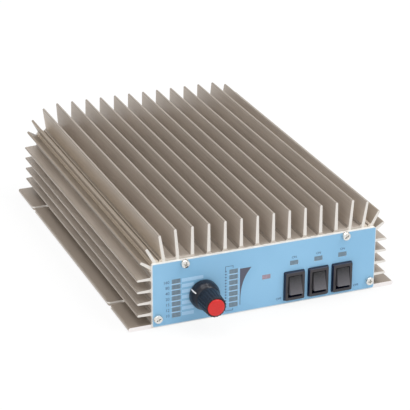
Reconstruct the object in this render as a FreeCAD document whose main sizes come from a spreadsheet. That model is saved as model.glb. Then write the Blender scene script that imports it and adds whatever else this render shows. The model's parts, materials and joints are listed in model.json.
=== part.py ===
"""HF linear amplifier: a finned heat sink that is the housing, with a control panel in front,
the radio sockets behind and the circuit boards hung inside.

Frame: +Z up, the control panel faces -Y, +X is to the right of someone who faces the panel.
The origin is at the middle of the resting face, under the middle of the heat sink.
"""
import FreeCAD, Part
import math
import os
import Sketcher

DIMENSIONS = [
    # Heat sink: an inverted U, drawn through a die along Y
    ("sink_length", 221),
    ("overall_width", 172),
    ("overall_height", 61),
    ("housing_width", 143),
    ("side_wall", 5.5),
    ("roof_top", 42),
    ("roof_thick", 6),
    ("roof_corner", 2),
    ("bay_round", 1.5),
    ("land_start", 47.4),
    ("land_end", 66.6),
    ("land_rise", 1.2),
    ("flange_thick", 2.5),
    ("flange_round", 1),
    ("flange_fillet", 1),
    ("rebate_width", 3.5),
    ("ledge_width", 4.5),
    ("ledge_top", 10),
    # Its fins
    ("fin_count", 10),
    ("fin_pitch", 10.25),
    ("fin_root", 2.2),
    ("fin_tip", 1.5),
    ("fin_foot", 1.1),
    ("fin_bevel", 0.4),
    ("fin_sunk", 1),
    ("outer_fin_place", 55.3),
    ("outer_fin_lean", 4.8),
    ("edge_fin_place", 64.05),
    ("edge_fin_lean", 9),
    ("edge_fin_reach", 15.5),
    ("upper_corner_place", 69.6),
    ("upper_corner_height", 42.1),
    ("upper_corner_lean", 29),
    ("upper_corner_reach", 10.5),
    ("lower_corner_height", 38.6),
    ("lower_corner_lean", 56),
    ("lower_corner_reach", 8.2),
    ("side_fin_count", 4),
    ("side_fin_low", 9.25),
    ("side_fin_pitch", 7.54),
    ("side_fin_reach", 9),
    ("side_fin_root", 1.9),
    ("side_fin_tip", 1.3),
    # Mounting slots, open at the outer edge of the flange
    ("slot_spacing", 152),
    ("slot_width", 3.5),
    ("slot_depth", 10),
    ("slot_flare", 1.2),
    # Screws of 3 mm and their holes
    ("screw_shank", 2.9),
    ("screw_thread", 3),
    ("screw_passage", 3.4),
    ("pan_head", 5.5),
    ("pan_head_high", 2.1),
    ("port_depth", 14),
    ("upper_port_place", 51.7),
    ("upper_port_height", 39.4),
    ("lower_port_place", 68.6),
    ("lower_port_height", 6.6),
    ("panel_screw_length", 12),
    ("cover_screw_place", 65.5),
    ("cover_screw_rows", 4),
    ("cover_screw_pitch", 64),
    ("cover_screw_depth", 7.5),
    ("cover_hole_depth", 9),
    ("sunk_head", 5.8),
    ("sunk_head_high", 1.5),
    # Panels and cover
    ("panel_thick", 2),
    ("panel_width", 143.8),
    ("panel_bottom", 1.3),
    ("panel_top", 41.8),
    ("panel_round", 2.5),
    ("cover_thick", 2),
    ("cover_gap", 0.2),
    # Indicator windows and lamps
    ("window_wide", 5.4),
    ("window_high", 2.9),
    ("window_low", 7),
    ("window_pitch", 3.63),
    ("window_count", 7),
    ("band_place", -57.1),
    ("power_place", -20.9),
    ("status_place", 18.1),
    ("status_pitch", 15.9),
    ("status_height", 27.6),
    ("protection_place", 0.15),
    ("protection_height", 21.4),
    ("lamp_gap", 0.1),
    ("lamp_long", 7),
    ("lamp_collar", 0.25),
    ("lamp_collar_long", 1),
    ("lead_thick", 0.5),
    ("lead_spread", 2.54),
    # Band selector: switch, bushing, nut, shaft and knob on one axis
    ("knob_place", -40.1),
    ("knob_height", 17.9),
    ("knob_lift", 0.4),
    ("knob_tall", 19.4),
    ("skirt_width", 18.2),
    ("skirt_edge", 2),
    ("shoulder_width", 14.2),
    ("shoulder_height", 7.2),
    ("shoulder_curve", 7),
    ("grip_top_width", 12.9),
    ("flute_count", 20),
    ("flute_wide", 1.1),
    ("flute_bite", 0.32),
    ("flute_start", 7.8),
    ("cap_width", 10.4),
    ("cap_seat", 1.8),
    ("cap_proud", 0.7),
    ("cap_bevel", 0.4),
    ("cap_dome", 0.5),
    ("cap_gap", 0.1),
    ("nut_recess_width", 14.2),
    ("nut_recess_deep", 5.9),
    ("collet_width", 8.4),
    ("collet_gap", 0.05),
    ("pointer_angle", 150),
    ("pointer_sweep", 5),
    ("pointer_proud", 0.08),
    ("pointer_deep", 0.4),
    ("pointer_gap", 0.05),
    ("pointer_slack", 1),
    ("pointer_end", 0.6),
    ("shaft_width", 6),
    ("shaft_gap", 0.05),
    ("shaft_front", 17),
    ("bushing_width", 9),
    ("bushing_gap", 0.15),
    ("bushing_long", 5.5),
    ("bushing_flange_width", 14),
    ("bushing_flange_thick", 0.8),
    ("nut_across", 11.8),
    ("nut_thick", 2.4),
    ("nut_gap", 0.1),
    ("switch_width", 26),
    ("switch_wall", 1.5),
    ("switch_deep", 9.7),
    ("rotor_width", 20),
    ("rotor_thick", 2.5),
    ("rotor_gap", 0.4),
    # Rocker switches
    ("rocker_count", 3),
    ("rocker_place", 18.3),
    ("rocker_pitch", 15.75),
    ("rocker_height", 12.75),
    ("bezel_wide", 13.8),
    ("bezel_high", 19.2),
    ("bezel_proud", 2),
    ("bezel_slope", 0.7),
    ("bezel_overlap", 0.9),
    ("bezel_round", 1),
    ("opening_wide", 9),
    ("opening_high", 14),
    ("opening_deep", 8),
    ("housing_deep", 13.5),
    ("cutout_gap", 0.1),
    ("pivot_depth", 3.9),
    ("pivot_width", 2.2),
    ("pivot_gap", 0.05),
    ("pivot_reach", 0.85),
    ("pivot_end_gap", 0.15),
    ("paddle_gap", 0.25),
    ("paddle_high", 11.4),
    ("paddle_front", 5.4),
    ("paddle_dish", 28),
    ("paddle_side", 1.2),
    ("paddle_rear", 1.8),
    ("paddle_rear_high", 4.4),
    ("paddle_round", 0.5),
    ("rest_tilt", 13),
    ("spade_wide", 4.8),
    ("spade_thick", 0.8),
    ("spade_long", 8),
    ("spade_spacing", 5.6),
    # Front circuit board, on pillars behind the panel
    ("front_board_depth", 10.5),
    ("board_thick", 1.6),
    ("front_board_side", 60.6),
    ("front_board_low", 3.2),
    ("front_board_step", 24),
    ("front_board_high", 34.8),
    ("front_board_inner", 9),
    ("pillar_width", 5),
    ("pillar_hole", 2.5),
    ("pillar_hole_deep", 6),
    ("small_shank", 2.4),
    ("small_head", 4.4),
    ("small_head_high", 1.6),
    ("small_passage", 2.8),
    ("small_screw_bite", 5),
    ("pillar_left", -50.8),
    ("pillar_middle", -8),
    ("pillar_right", 57),
    ("pillar_low", 6),
    ("pillar_high", 32),
    # Main circuit board, hung under the roof
    ("main_board_drop", 3),
    ("main_board_width", 116),
    ("main_board_length", 170),
    ("main_board_place", -1),
    ("main_board_screw_place", 55),
    ("main_board_screw_inset", 4),
    ("main_board_screw_rows", 4),
    ("spacer_width", 5.5),
    ("roof_hole_depth", 4),
    ("roof_screw_bite", 3.5),
    # Power transistors
    ("transistor_place", 16),
    ("transistor_row", 42),
    ("transistor_flange_wide", 24.5),
    ("transistor_flange_long", 9.4),
    ("transistor_ears", 18.4),
    ("transistor_width", 11),
    ("transistor_high", 4),
    ("transistor_gap", 0.3),
    ("transistor_lead_wide", 5.6),
    ("transistor_lead_thick", 0.25),
    ("transistor_lead_span", 26),
    # Transformers
    ("output_core_wide", 32),
    ("output_core_long", 26),
    ("output_core_high", 14),
    ("output_core_row", 14),
    ("output_tube_width", 7),
    ("output_tube_gap", 0.1),
    ("output_tube_spread", 15),
    ("output_tube_extra", 2),
    ("output_strap_thick", 1),
    ("input_core_wide", 14),
    ("input_core_long", 12),
    ("input_core_high", 7.5),
    ("input_core_row", 64),
    # Low-pass filters
    ("filter_count", 6),
    ("filter_pitch", 18.4),
    ("front_toroid_row", -57),
    ("rear_toroid_row", -37),
    ("toroid_width", 15),
    ("toroid_hole", 8),
    ("toroid_thick", 6),
    ("winding_thick", 0.8),
    ("winding_gap", 0.05),
    ("winding_opening", 6),
    ("relay_wide", 10),
    ("relay_long", 14),
    ("relay_high", 11),
    ("front_relay_row", -77),
    ("rear_relay_row", -18.5),
    ("capacitor_wide", 5.5),
    ("capacitor_thick", 2),
    ("capacitor_high", 6.5),
    ("front_capacitor_row", -67.7),
    ("middle_capacitor_row", -47),
    ("rear_capacitor_row", -27.1),
    # Supply side
    ("antenna_relay_wide", 16),
    ("antenna_relay_long", 20),
    ("antenna_relay_high", 15),
    ("antenna_relay_place", 41),
    ("antenna_relay_row", 62),
    ("electrolytic_width", 10),
    ("electrolytic_high", 17),
    ("electrolytic_place", -42),
    ("electrolytic_row", 10),
    ("electrolytic_pitch", 13),
    ("electrolytic_count", 2),
    ("choke_core_width", 9),
    ("choke_core_long", 32),
    ("choke_winding_width", 13),
    ("choke_winding_long", 24),
    ("choke_place", -42),
    ("choke_row", 56),
    # Radio sockets on the rear panel
    ("socket_height", 21.5),
    ("input_socket_place", 50),
    ("output_socket_place", 18),
    ("socket_flange", 25.4),
    ("socket_flange_thick", 1.6),
    ("socket_flange_round", 2),
    ("socket_barrel", 15.88),
    ("socket_barrel_long", 17.5),
    ("socket_spigot_long", 3.5),
    ("socket_hole_gap", 0.2),
    ("socket_screw_spacing", 18.2),
    ("socket_screw_length", 8),
    ("socket_bore", 11.6),
    ("insulator_gap", 0.05),
    ("insulator_front", 15),
    ("insulator_rear", 4.5),
    ("contact_width", 6),
    ("contact_bore", 4),
    ("contact_bore_deep", 13),
    ("contact_front", 15.5),
    ("contact_rear", 10),
    # Control jack
    ("jack_place", -7),
    ("jack_shell", 8.3),
    ("jack_shell_long", 9),
    ("jack_thread", 6.2),
    ("jack_thread_long", 8),
    ("jack_hex", 11),
    ("jack_hex_thick", 2),
    ("jack_bore", 6.6),
    ("jack_bore_deep", 8.5),
    ("jack_insulator_deep", 1.5),
    ("jack_contact", 4.6),
    ("jack_contact_bore", 3.2),
    ("jack_nut_thick", 2),
    ("jack_gap", 0.05),
    ("jack_thread_wall", 1),
    ("jack_stem", 2),
    ("jack_stem_tail", 2),
    ("jack_contact_recess", 1),
    # Fuse block
    ("fuse_block_place", -32.5),
    ("fuse_block_wide", 27),
    ("fuse_block_high", 24),
    ("fuse_block_proud", 7),
    ("fuse_block_behind", 13),
    ("fuse_block_lip", 1.2),
    ("fuse_block_round", 1),
    ("fuse_block_gap", 0.15),
    ("fuse_count", 3),
    ("fuse_pitch", 8),
    ("fuse_wide", 5),
    ("fuse_high", 19),
    ("fuse_grip", 7),
    ("fuse_out", 5),
    ("fuse_gap", 0.15),
    ("blade_wide", 5.2),
    ("blade_thick", 0.7),
    ("blade_long", 7),
    ("blade_spread", 13.5),
    # Cable gland
    ("gland_place", -56),
    ("gland_head", 15),
    ("gland_head_long", 8),
    ("gland_nose", 11.5),
    ("gland_hex", 15.5),
    ("gland_hex_thick", 3),
    ("gland_thread", 12),
    ("gland_thread_long", 8),
    ("gland_bore", 8),
    ("gland_nut_thick", 3.5),
    ("gland_gap", 0.1),
    # Wires from the sockets to the board
    ("wire_width", 1.6),
    ("wire_bend", 5),
    ("wire_reach", 22),
]


class Term:
    """A length or an angle: its value, and the formula that ties it to the sheet.

    A plain number has no formula."""

    def __init__(self, value, formula=None):
        self.value = float(value)
        self.formula = formula

    def text(self):
        return self.formula or repr(self.value)

    def __add__(self, other):
        return joined(self, "+", other)

    def __radd__(self, other):
        return joined(other, "+", self)

    def __sub__(self, other):
        return joined(self, "-", other)

    def __rsub__(self, other):
        return joined(other, "-", self)

    def __mul__(self, other):
        return joined(self, "*", other)

    def __rmul__(self, other):
        return joined(other, "*", self)

    def __truediv__(self, other):
        return joined(self, "/", other)

    def __neg__(self):
        return joined(0, "-", self)


RESULTS = {
    "+": lambda left, right: left + right,
    "-": lambda left, right: left - right,
    "*": lambda left, right: left * right,
    "/": lambda left, right: left / right,
}


def term(number):
    return number if isinstance(number, Term) else Term(number)


def joined(left, sign, right):
    left = term(left)
    right = term(right)
    value = RESULTS[sign](left.value, right.value)
    if left.formula is None and right.formula is None:
        return Term(value)
    return Term(value, "(%s %s %s)" % (left.text(), sign, right.text()))


def applied(name, function, angle):
    """A function of an angle in degrees."""
    angle = term(angle)
    value = function(math.radians(angle.value))
    if angle.formula is None:
        return Term(round(value, 12))
    return Term(value, "%s(%s)" % (name, angle.formula))


def sine(angle):
    return applied("sin", math.sin, angle)


def cosine(angle):
    return applied("cos", math.cos, angle)


class Sizes:
    """The driving dimensions, written to the sheet and read back as terms."""

    def __init__(self, doc, rows):
        self.values = dict(rows)
        sheet = doc.addObject("Spreadsheet::Sheet", "sizes")
        for row, (alias, value) in enumerate(rows, start=1):
            sheet.set("A%d" % row, alias)
            sheet.set("B%d" % row, str(value))
            sheet.setAlias("B%d" % row, alias)

    def __getattr__(self, alias):
        return Term(self.values[alias], "sizes." + alias)


doc = FreeCAD.newDocument("hf_linear_amplifier")
size = Sizes(doc, DIMENSIONS)
doc.recompute()
subparts = []

NEAR = 0.01
HEAD_SIDES = 12
SHANK_SIDES = 8
UP = FreeCAD.Vector(0, 0, 1)
RIGHT = FreeCAD.Vector(1, 0, 0)
LEFT = FreeCAD.Vector(-1, 0, 0)
FACING_FRONT = FreeCAD.Rotation(RIGHT, 90)
FACING_REAR = FreeCAD.Rotation(RIGHT, -90)
FACING_DOWN = FreeCAD.Rotation(RIGHT, 180)
ACROSS = FreeCAD.Rotation(FreeCAD.Vector(0, 1, 0), 90)

# Places that several pieces share
sink_front = -size.sink_length / 2
sink_rear = size.sink_length / 2
panel_face = sink_front - size.panel_thick
rear_face = sink_rear + size.panel_thick
wall_outside = size.housing_width / 2
wall_inside = wall_outside - size.side_wall
roof_low = size.roof_top - size.roof_thick
board_top = roof_low - size.main_board_drop
board_low = board_top - size.board_thick
front_board_face = sink_front + size.front_board_depth


# ---- bound properties, primitives and groups ----

def bind(piece, name, length):
    length = term(length)
    if length.formula is None:
        piece.setExpression(name, repr(length.value))
    else:
        piece.setExpression(name, length.formula)


def place(piece, x=0, y=0, z=0, turn=None):
    """Stands a piece at a point, turned first."""
    if turn is not None:
        piece.Placement = FreeCAD.Placement(FreeCAD.Vector(), turn)
    for axis, where in (("x", x), ("y", y), ("z", z)):
        bind(piece, "Placement.Base." + axis, where)
    return piece


def keep(piece, label):
    """Names a finished sub-part, which is then written to its file."""
    piece.Label = label
    subparts.append(piece)
    return piece


def box(x, y, z):
    """A block between two values on each axis."""
    piece = doc.addObject("Part::Box", "block")
    bind(piece, "Length", term(x[1]) - x[0])
    bind(piece, "Width", term(y[1]) - y[0])
    bind(piece, "Height", term(z[1]) - z[0])
    return place(piece, x[0], y[0], z[0])


def middle(centre, width):
    """The two ends of a width about its centre."""
    return (centre - width / 2, centre + width / 2)


def cylinder(width, low, high, x=0, y=0):
    """A round bar of a given diameter along Z."""
    piece = doc.addObject("Part::Cylinder", "round_bar")
    bind(piece, "Radius", width / 2)
    bind(piece, "Height", term(high) - low)
    return place(piece, x, y, low)


def cone(low_width, high_width, low, high, x=0, y=0):
    piece = doc.addObject("Part::Cone", "taper")
    bind(piece, "Radius1", low_width / 2)
    bind(piece, "Radius2", high_width / 2)
    bind(piece, "Height", term(high) - low)
    return place(piece, x, y, low)


def bar(width, low, high, x=0, y=0, sides=HEAD_SIDES):
    """A bar of flat sides, its corners on the width, for what is small, hidden or often repeated."""
    piece = doc.addObject("Part::Prism", "bar")
    piece.Polygon = sides
    bind(piece, "Circumradius", width / 2)
    bind(piece, "Height", term(high) - low)
    return place(piece, x, y, low)


def hole(width, low, high, x=0, y=0):
    """What a bar of the given width passes through: its flats lie on the width."""
    return bar(width / cosine(180 / SHANK_SIDES), low, high, x, y, SHANK_SIDES)


def hexagon(across, low, high):
    """A six-sided bar, by its width across the flats."""
    return bar(across / cosine(30), low, high, sides=6)


def taper(low_width, high_width, low, high, x=0, y=0):
    """A bar of flat sides that narrows, as a small screw's head does."""
    ends = []
    for width, height in ((low_width, low), (high_width, high)):
        end = doc.addObject("Part::RegularPolygon", "end_of_taper")
        end.Polygon = HEAD_SIDES
        bind(end, "Circumradius", width / 2)
        ends.append(place(end, x, y, height))
    piece = doc.addObject("Part::Loft", "narrowing_bar")
    piece.Sections = ends
    piece.Solid = True
    piece.Ruled = True
    return piece


def fuse(pieces, name="union"):
    piece = doc.addObject("Part::MultiFuse", name)
    piece.Shapes = pieces
    piece.Refine = True
    return piece


def cut(base, tools, name="difference"):
    piece = doc.addObject("Part::Cut", name)
    piece.Base = base
    piece.Tool = tools[0] if len(tools) == 1 else fuse(tools)
    piece.Refine = True
    return piece


def group(label, model, places, turn=None):
    """Identical pieces in one sub-part, each a copy of the model at its own place."""
    copies = []
    for x, y, z in places:
        copy = doc.addObject("App::Link", "copy_of_" + label)
        copy.LinkedObject = model
        copy.LinkTransform = True
        place(copy, x, y, z, turn)
        copies.append(copy)
    together = doc.addObject("Part::Compound", label)
    together.Links = copies
    return keep(together, label)


def spread(count, first, pitch):
    """Evenly spaced values, the first one given."""
    return [first + pitch * index for index in range(int(count.value))]


# ---- sketches and features of a body ----

def new_body(label, kept=True):
    body = doc.addObject("PartDesign::Body", label)
    body.AllowCompound = False
    return keep(body, label) if kept else body


def origin_of(body, role):
    return next(item for item in body.Origin.OriginFeatures if item.Role == role)


def sketch_on(body, plane, offset=0):
    """A sketch on XY, XZ or YZ of its body; the offset runs along +Z, -Y or +X."""
    sketch = body.newObject("Sketcher::SketchObject", "outline_" + body.Name)
    sketch.AttachmentSupport = [(origin_of(body, plane + "_Plane"), "")]
    sketch.MapMode = "FlatFace"
    bind(sketch, "AttachmentOffset.Base.z", offset)
    return sketch


def tie(sketch, kind, geometry, point, length):
    """Fixes one coordinate of a point of the sketch to a term."""
    index = sketch.addConstraint(Sketcher.Constraint(kind, -1, 1, geometry, point, length.value))
    if length.formula is not None:
        sketch.setExpression("Constraints[%d]" % index, length.formula)


def tie_radius(sketch, geometry, radius):
    index = sketch.addConstraint(Sketcher.Constraint("Radius", geometry, radius.value))
    if radius.formula is not None:
        sketch.setExpression("Constraints[%d]" % index, radius.formula)


def arc_between(start, end, radius):
    """The shorter arc from start to end; a positive radius turns left, a negative one right."""
    chord = end - start
    half = chord.Length / 2
    side = 1 if radius > 0 else -1
    rise = math.sqrt(max(radius * radius - half * half, 0))
    across = FreeCAD.Vector(-chord.y, chord.x, 0).normalize() * (side * rise)
    centre = (start + end) * 0.5 + across
    first, last = (start, end) if side > 0 else (end, start)
    angles = [math.atan2(point.y - centre.y, point.x - centre.x) for point in (first, last)]
    if angles[1] < angles[0]:
        angles[1] += 2 * math.pi
    return Part.ArcOfCircle(Part.Circle(centre, UP, abs(radius)), angles[0], angles[1])


def draw(sketch, corners, closed=True):
    """Draws an outline through corners (x, y); a third value is the radius of the arc that
    leaves the corner, positive where it turns left."""
    corners = [tuple(term(value) for value in corner) for corner in corners]
    count = len(corners) if closed else len(corners) - 1
    edges = []
    for index in range(count):
        corner = corners[index]
        following = corners[(index + 1) % len(corners)]
        start = FreeCAD.Vector(corner[0].value, corner[1].value, 0)
        end = FreeCAD.Vector(following[0].value, following[1].value, 0)
        if len(corner) == 2:
            geometry = sketch.addGeometry(Part.LineSegment(start, end), False)
            edges.append((geometry, 1, 2))
            continue
        radius = corner[2]
        geometry = sketch.addGeometry(arc_between(start, end, radius.value), False)
        edges.append((geometry, 1, 2) if radius.value > 0 else (geometry, 2, 1))
        tie_radius(sketch, geometry, radius if radius.value > 0 else -radius)
    for index, (geometry, start_point, end_point) in enumerate(edges):
        tie(sketch, "DistanceX", geometry, start_point, corners[index][0])
        tie(sketch, "DistanceY", geometry, start_point, corners[index][1])
        if index + 1 < len(edges) or closed:
            following, following_start, _ = edges[(index + 1) % len(edges)]
            joint = Sketcher.Constraint("Coincident", geometry, end_point, following, following_start)
            sketch.addConstraint(joint)
        else:
            tie(sketch, "DistanceX", geometry, end_point, corners[-1][0])
            tie(sketch, "DistanceY", geometry, end_point, corners[-1][1])
    return sketch


def draw_circle(sketch, x, y, width):
    x, y, radius = term(x), term(y), term(width) / 2
    circle = Part.Circle(FreeCAD.Vector(x.value, y.value, 0), UP, radius.value)
    geometry = sketch.addGeometry(circle, False)
    tie(sketch, "DistanceX", geometry, 3, x)
    tie(sketch, "DistanceY", geometry, 3, y)
    tie_radius(sketch, geometry, radius)
    return sketch


def rectangle(x, y):
    """The corners of a rectangle between two values on each axis."""
    return [(x[0], y[0]), (x[1], y[0]), (x[1], y[1]), (x[0], y[1])]


def few_sided(x, y, width, sides=SHANK_SIDES):
    """The corners of a regular outline drawn around a circle of the given width."""
    reach = width / 2 / cosine(180 / sides)
    angles = [360 * (step + 0.5) / sides for step in range(sides)]
    return [(x + reach * cosine(angle), y + reach * sine(angle)) for angle in angles]


def rounded(x, y, radius):
    """The corners of a rectangle whose own corners are arcs."""
    return [
        (x[0] + radius, y[0]), (x[1] - radius, y[0], radius),
        (x[1], y[0] + radius), (x[1], y[1] - radius, radius),
        (x[1] - radius, y[1]), (x[0] + radius, y[1], radius),
        (x[0], y[1] - radius), (x[0], y[0] + radius, radius),
    ]


def mirrored(half):
    """The other half of an outline that is symmetrical about the second axis."""
    other = []
    for index in reversed(range(len(half))):
        corner = (-term(half[index][0]), half[index][1])
        arc = half[index - 1][2:] if index else ()
        other.append(corner + arc)
    return other


def feature(body, kind, sketch, length, reverse=False, symmetric=False):
    item = body.newObject("PartDesign::" + kind, kind.lower() + "_" + body.Name)
    item.Profile = sketch
    item.Reversed = reverse
    item.SideType = "Symmetric" if symmetric else "One side"
    item.Refine = False
    bind(item, "Length", length)
    return item


def pad(body, sketch, length, **options):
    return feature(body, "Pad", sketch, length, **options)


def pocket(body, sketch, length, **options):
    return feature(body, "Pocket", sketch, length, **options)


def revolve(body, sketch, kind="Revolution", sweep=360):
    """Turns a sketch on the XZ plane about the local Z axis."""
    item = body.newObject("PartDesign::" + kind, kind.lower() + "_" + body.Name)
    item.Profile = sketch
    item.ReferenceAxis = (sketch, ["V_Axis"])
    item.Midplane = True
    bind(item, "Angle", sweep)
    return item


def row_of(body, originals, axis, count, pitch):
    """Repeats features along an axis of the body."""
    item = body.newObject("PartDesign::LinearPattern", "row_" + body.Name)
    item.Originals = originals
    item.Direction = (origin_of(body, axis + "_Axis"), [""])
    bind(item, "Occurrences", count)
    bind(item, "Length", pitch * (count - 1))
    item.Refine = False
    body.Tip = item
    return item


def paired_holes(body, height, across, rows, width, depth):
    """Holes upwards at either side of the middle; the rows along Y have a first, count and pitch."""
    first, count, pitch = rows
    sketch = sketch_on(body, "XY", height)
    for side in (-1, 1):
        draw(sketch, few_sided(side * across, first, width))
    pair = pocket(body, sketch, depth, reverse=True)
    return row_of(body, [pair], "Y", count, pitch)


def places_of(across, rows):
    """Where the holes of such rows are."""
    first, count, pitch = rows
    return [(side * across, row) for side in (-1, 1) for row in spread(count, first, pitch)]


# ---- heat sink ----

def fin_outline(root, lean, reach, root_thick, tip_thick):
    """A tapered fin with a bevelled tip and a wider foot; it leans to the right of straight up."""
    foot = size.fin_foot
    bevel = size.fin_bevel
    right_side = [
        (root_thick / 2 + foot, -size.fin_sunk),
        (root_thick / 2 + foot, 0),
        (root_thick / 2, foot),
        (tip_thick / 2, reach - bevel),
        (tip_thick / 2 - bevel, reach),
    ]
    return [
        (root[0] + across * cosine(lean) + along * sine(lean),
         root[1] - across * sine(lean) + along * cosine(lean))
        for across, along in right_side + mirrored(right_side)
    ]


def heat_sink():
    body = new_body("heat_sink")
    reach = size.overall_width / 2
    rebate = wall_inside + size.rebate_width
    ledge = wall_inside - size.ledge_width
    ledge_slope_top = size.ledge_top + size.ledge_width / 2
    round_end = size.flange_round
    land_top = size.roof_top + size.land_rise
    outside = [
        (rebate, 0),
        (reach - round_end, 0, round_end),
        (reach, round_end),
        (reach, size.flange_thick - round_end, round_end),
        (reach - round_end, size.flange_thick),
        (wall_outside + size.flange_fillet, size.flange_thick, -size.flange_fillet),
        (wall_outside, size.flange_thick + size.flange_fillet),
        (wall_outside, size.roof_top - size.roof_corner, size.roof_corner),
        (wall_outside - size.roof_corner, size.roof_top),
        (size.land_end + size.land_rise / 2, size.roof_top),
        (size.land_end, land_top),
        (size.land_start, land_top),
        (size.land_start - size.land_rise / 2, size.roof_top),
    ]
    inside = [
        (wall_inside - size.bay_round, roof_low, -size.bay_round),
        (wall_inside, roof_low - size.bay_round),
        (wall_inside, ledge_slope_top),
        (ledge, size.ledge_top),
        (ledge, size.cover_thick),
        (rebate, size.cover_thick),
    ]
    outline = sketch_on(body, "XZ", -sink_front)
    draw(outline, outside + mirrored(outside) + mirrored(inside) + inside)
    pad(body, outline, size.sink_length, reverse=True)
    mounting_slots(body, reach)
    sink_holes(body)
    first_fin = -size.fin_pitch * (size.fin_count - 1) / 2
    top_fin = fins(body, [((first_fin, size.roof_top), 0, size.overall_height - size.roof_top)])
    row_of(body, [top_fin], "X", size.fin_count, size.fin_pitch)
    side_fins = fins(body, [
        ((side * wall_outside, size.side_fin_low), side * 90, size.side_fin_reach)
        for side in (-1, 1)
    ], size.side_fin_root, size.side_fin_tip)
    row_of(body, [side_fins], "Z", size.side_fin_count, size.side_fin_pitch)
    tip_corner = (size.fin_tip / 2 - size.fin_bevel) * sine(size.outer_fin_lean)
    outer_reach = (size.overall_height - land_top - tip_corner) / cosine(size.outer_fin_lean)
    leaning = [
        (size.outer_fin_place, land_top, size.outer_fin_lean, outer_reach),
        (size.edge_fin_place, land_top, size.edge_fin_lean, size.edge_fin_reach),
        (size.upper_corner_place, size.upper_corner_height,
         size.upper_corner_lean, size.upper_corner_reach),
        (wall_outside, size.lower_corner_height, size.lower_corner_lean, size.lower_corner_reach),
    ]
    for x, z, lean, fin_reach in leaning:
        fins(body, [((side * x, z), side * lean, fin_reach) for side in (-1, 1)])
    return body


def fins(body, rows, root_thick=None, tip_thick=None):
    """Fins along the whole heat sink, each given by its root, lean and reach."""
    sketch = sketch_on(body, "XZ", -sink_front)
    for root, lean, fin_reach in rows:
        draw(sketch, fin_outline(root, lean, fin_reach, root_thick or size.fin_root,
                                 tip_thick or size.fin_tip))
    return pad(body, sketch, size.sink_length, reverse=True)


def mounting_slots(body, reach):
    """Slots through the flange, open at its edge and flared there."""
    half = size.slot_width / 2
    bottom = reach - size.slot_depth
    flare = size.slot_flare
    sketch = sketch_on(body, "XY")
    for side in (-1, 1):
        slot = [
            (bottom + half, half, side * half),
            (bottom, 0, side * half),
            (bottom + half, -half),
            (reach - flare, -half),
            (reach + flare, -half - flare * 2),
            (reach + flare, half + flare * 2),
            (reach - flare, half),
        ]
        for end in (-1, 1):
            row = end * size.slot_spacing / 2
            draw(sketch, [(side * x, row + y, *arc) for x, y, *arc in slot])
    pocket(body, sketch, size.flange_thick * 2, reverse=True)


def sink_holes(body):
    """Screw ports for the panels and the cover, and blind holes in the roof for the boards."""
    for end, reverse in ((sink_front, False), (sink_rear, True)):
        ports = sketch_on(body, "XZ", -end)
        for x, z in port_places():
            draw(ports, few_sided(x, z, size.screw_thread))
        pocket(body, ports, size.port_depth, reverse=reverse)
    paired_holes(body, size.cover_thick, size.cover_screw_place, cover_screw_rows(),
                 size.screw_thread, size.cover_hole_depth)
    paired_holes(body, roof_low, size.main_board_screw_place, main_board_rows(),
                 size.screw_thread, size.roof_hole_depth)
    ear_holes = sketch_on(body, "XY", roof_low)
    for x, y in transistor_screw_places():
        draw(ear_holes, few_sided(x, y, size.screw_thread))
    pocket(body, ear_holes, size.roof_hole_depth, reverse=True)


def port_places():
    return [
        (side * across, up)
        for across, up in ((size.upper_port_place, size.upper_port_height),
                           (size.lower_port_place, size.lower_port_height))
        for side in (-1, 1)
    ]


def cover_screw_rows():
    first = -size.cover_screw_pitch * (size.cover_screw_rows - 1) / 2
    return first, size.cover_screw_rows, size.cover_screw_pitch


def cover_screw_places():
    return places_of(size.cover_screw_place, cover_screw_rows())


# ---- panels, cover and their screws ----

def blank_panel(label, front):
    """A panel that lies on the local XZ plane and grows away from the heat sink."""
    body = new_body(label)
    outline = sketch_on(body, "XZ")
    draw(outline, rounded(middle(0, size.panel_width), (size.panel_bottom, size.panel_top),
                          size.panel_round))
    pad(body, outline, size.panel_thick, reverse=not front)
    place(body, 0, sink_front if front else sink_rear, 0)
    return body


def panel_cut(body, front, outlines=(), circles=(), screws=()):
    """Cuts rectangles, circles and screw holes right through a panel."""
    sketch = sketch_on(body, "XZ")
    for x, z in outlines:
        draw(sketch, rectangle(x, z))
    for x, z, width in circles:
        draw_circle(sketch, x, z, width)
    for x, z in screws:
        draw(sketch, few_sided(x, z, size.screw_passage))
    return pocket(body, sketch, size.panel_thick, reverse=front)


def front_panel():
    body = blank_panel("front_panel", True)
    bushing = (size.knob_place, size.knob_height, size.bushing_width + size.bushing_gap * 2)
    protection = (middle(size.protection_place, size.window_wide),
                  middle(size.protection_height, size.window_high))
    panel_cut(body, True, [protection], [bushing], port_places())
    lowest = middle(size.window_low, size.window_high)
    columns = panel_cut(body, True, [
        (middle(size.band_place, size.window_wide), lowest),
        (middle(size.power_place, size.window_wide), lowest),
    ])
    row_of(body, [columns], "Z", size.window_count, size.window_pitch)
    status = panel_cut(body, True, [
        (middle(size.status_place, size.window_wide), middle(size.status_height, size.window_high)),
    ])
    row_of(body, [status], "X", size.rocker_count, size.status_pitch)
    cutout = panel_cut(body, True, [
        (middle(size.rocker_place, rocker_cutout_wide()),
         middle(size.rocker_height, rocker_cutout_high())),
    ])
    row_of(body, [cutout], "X", size.rocker_count, size.rocker_pitch)
    return body


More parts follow.
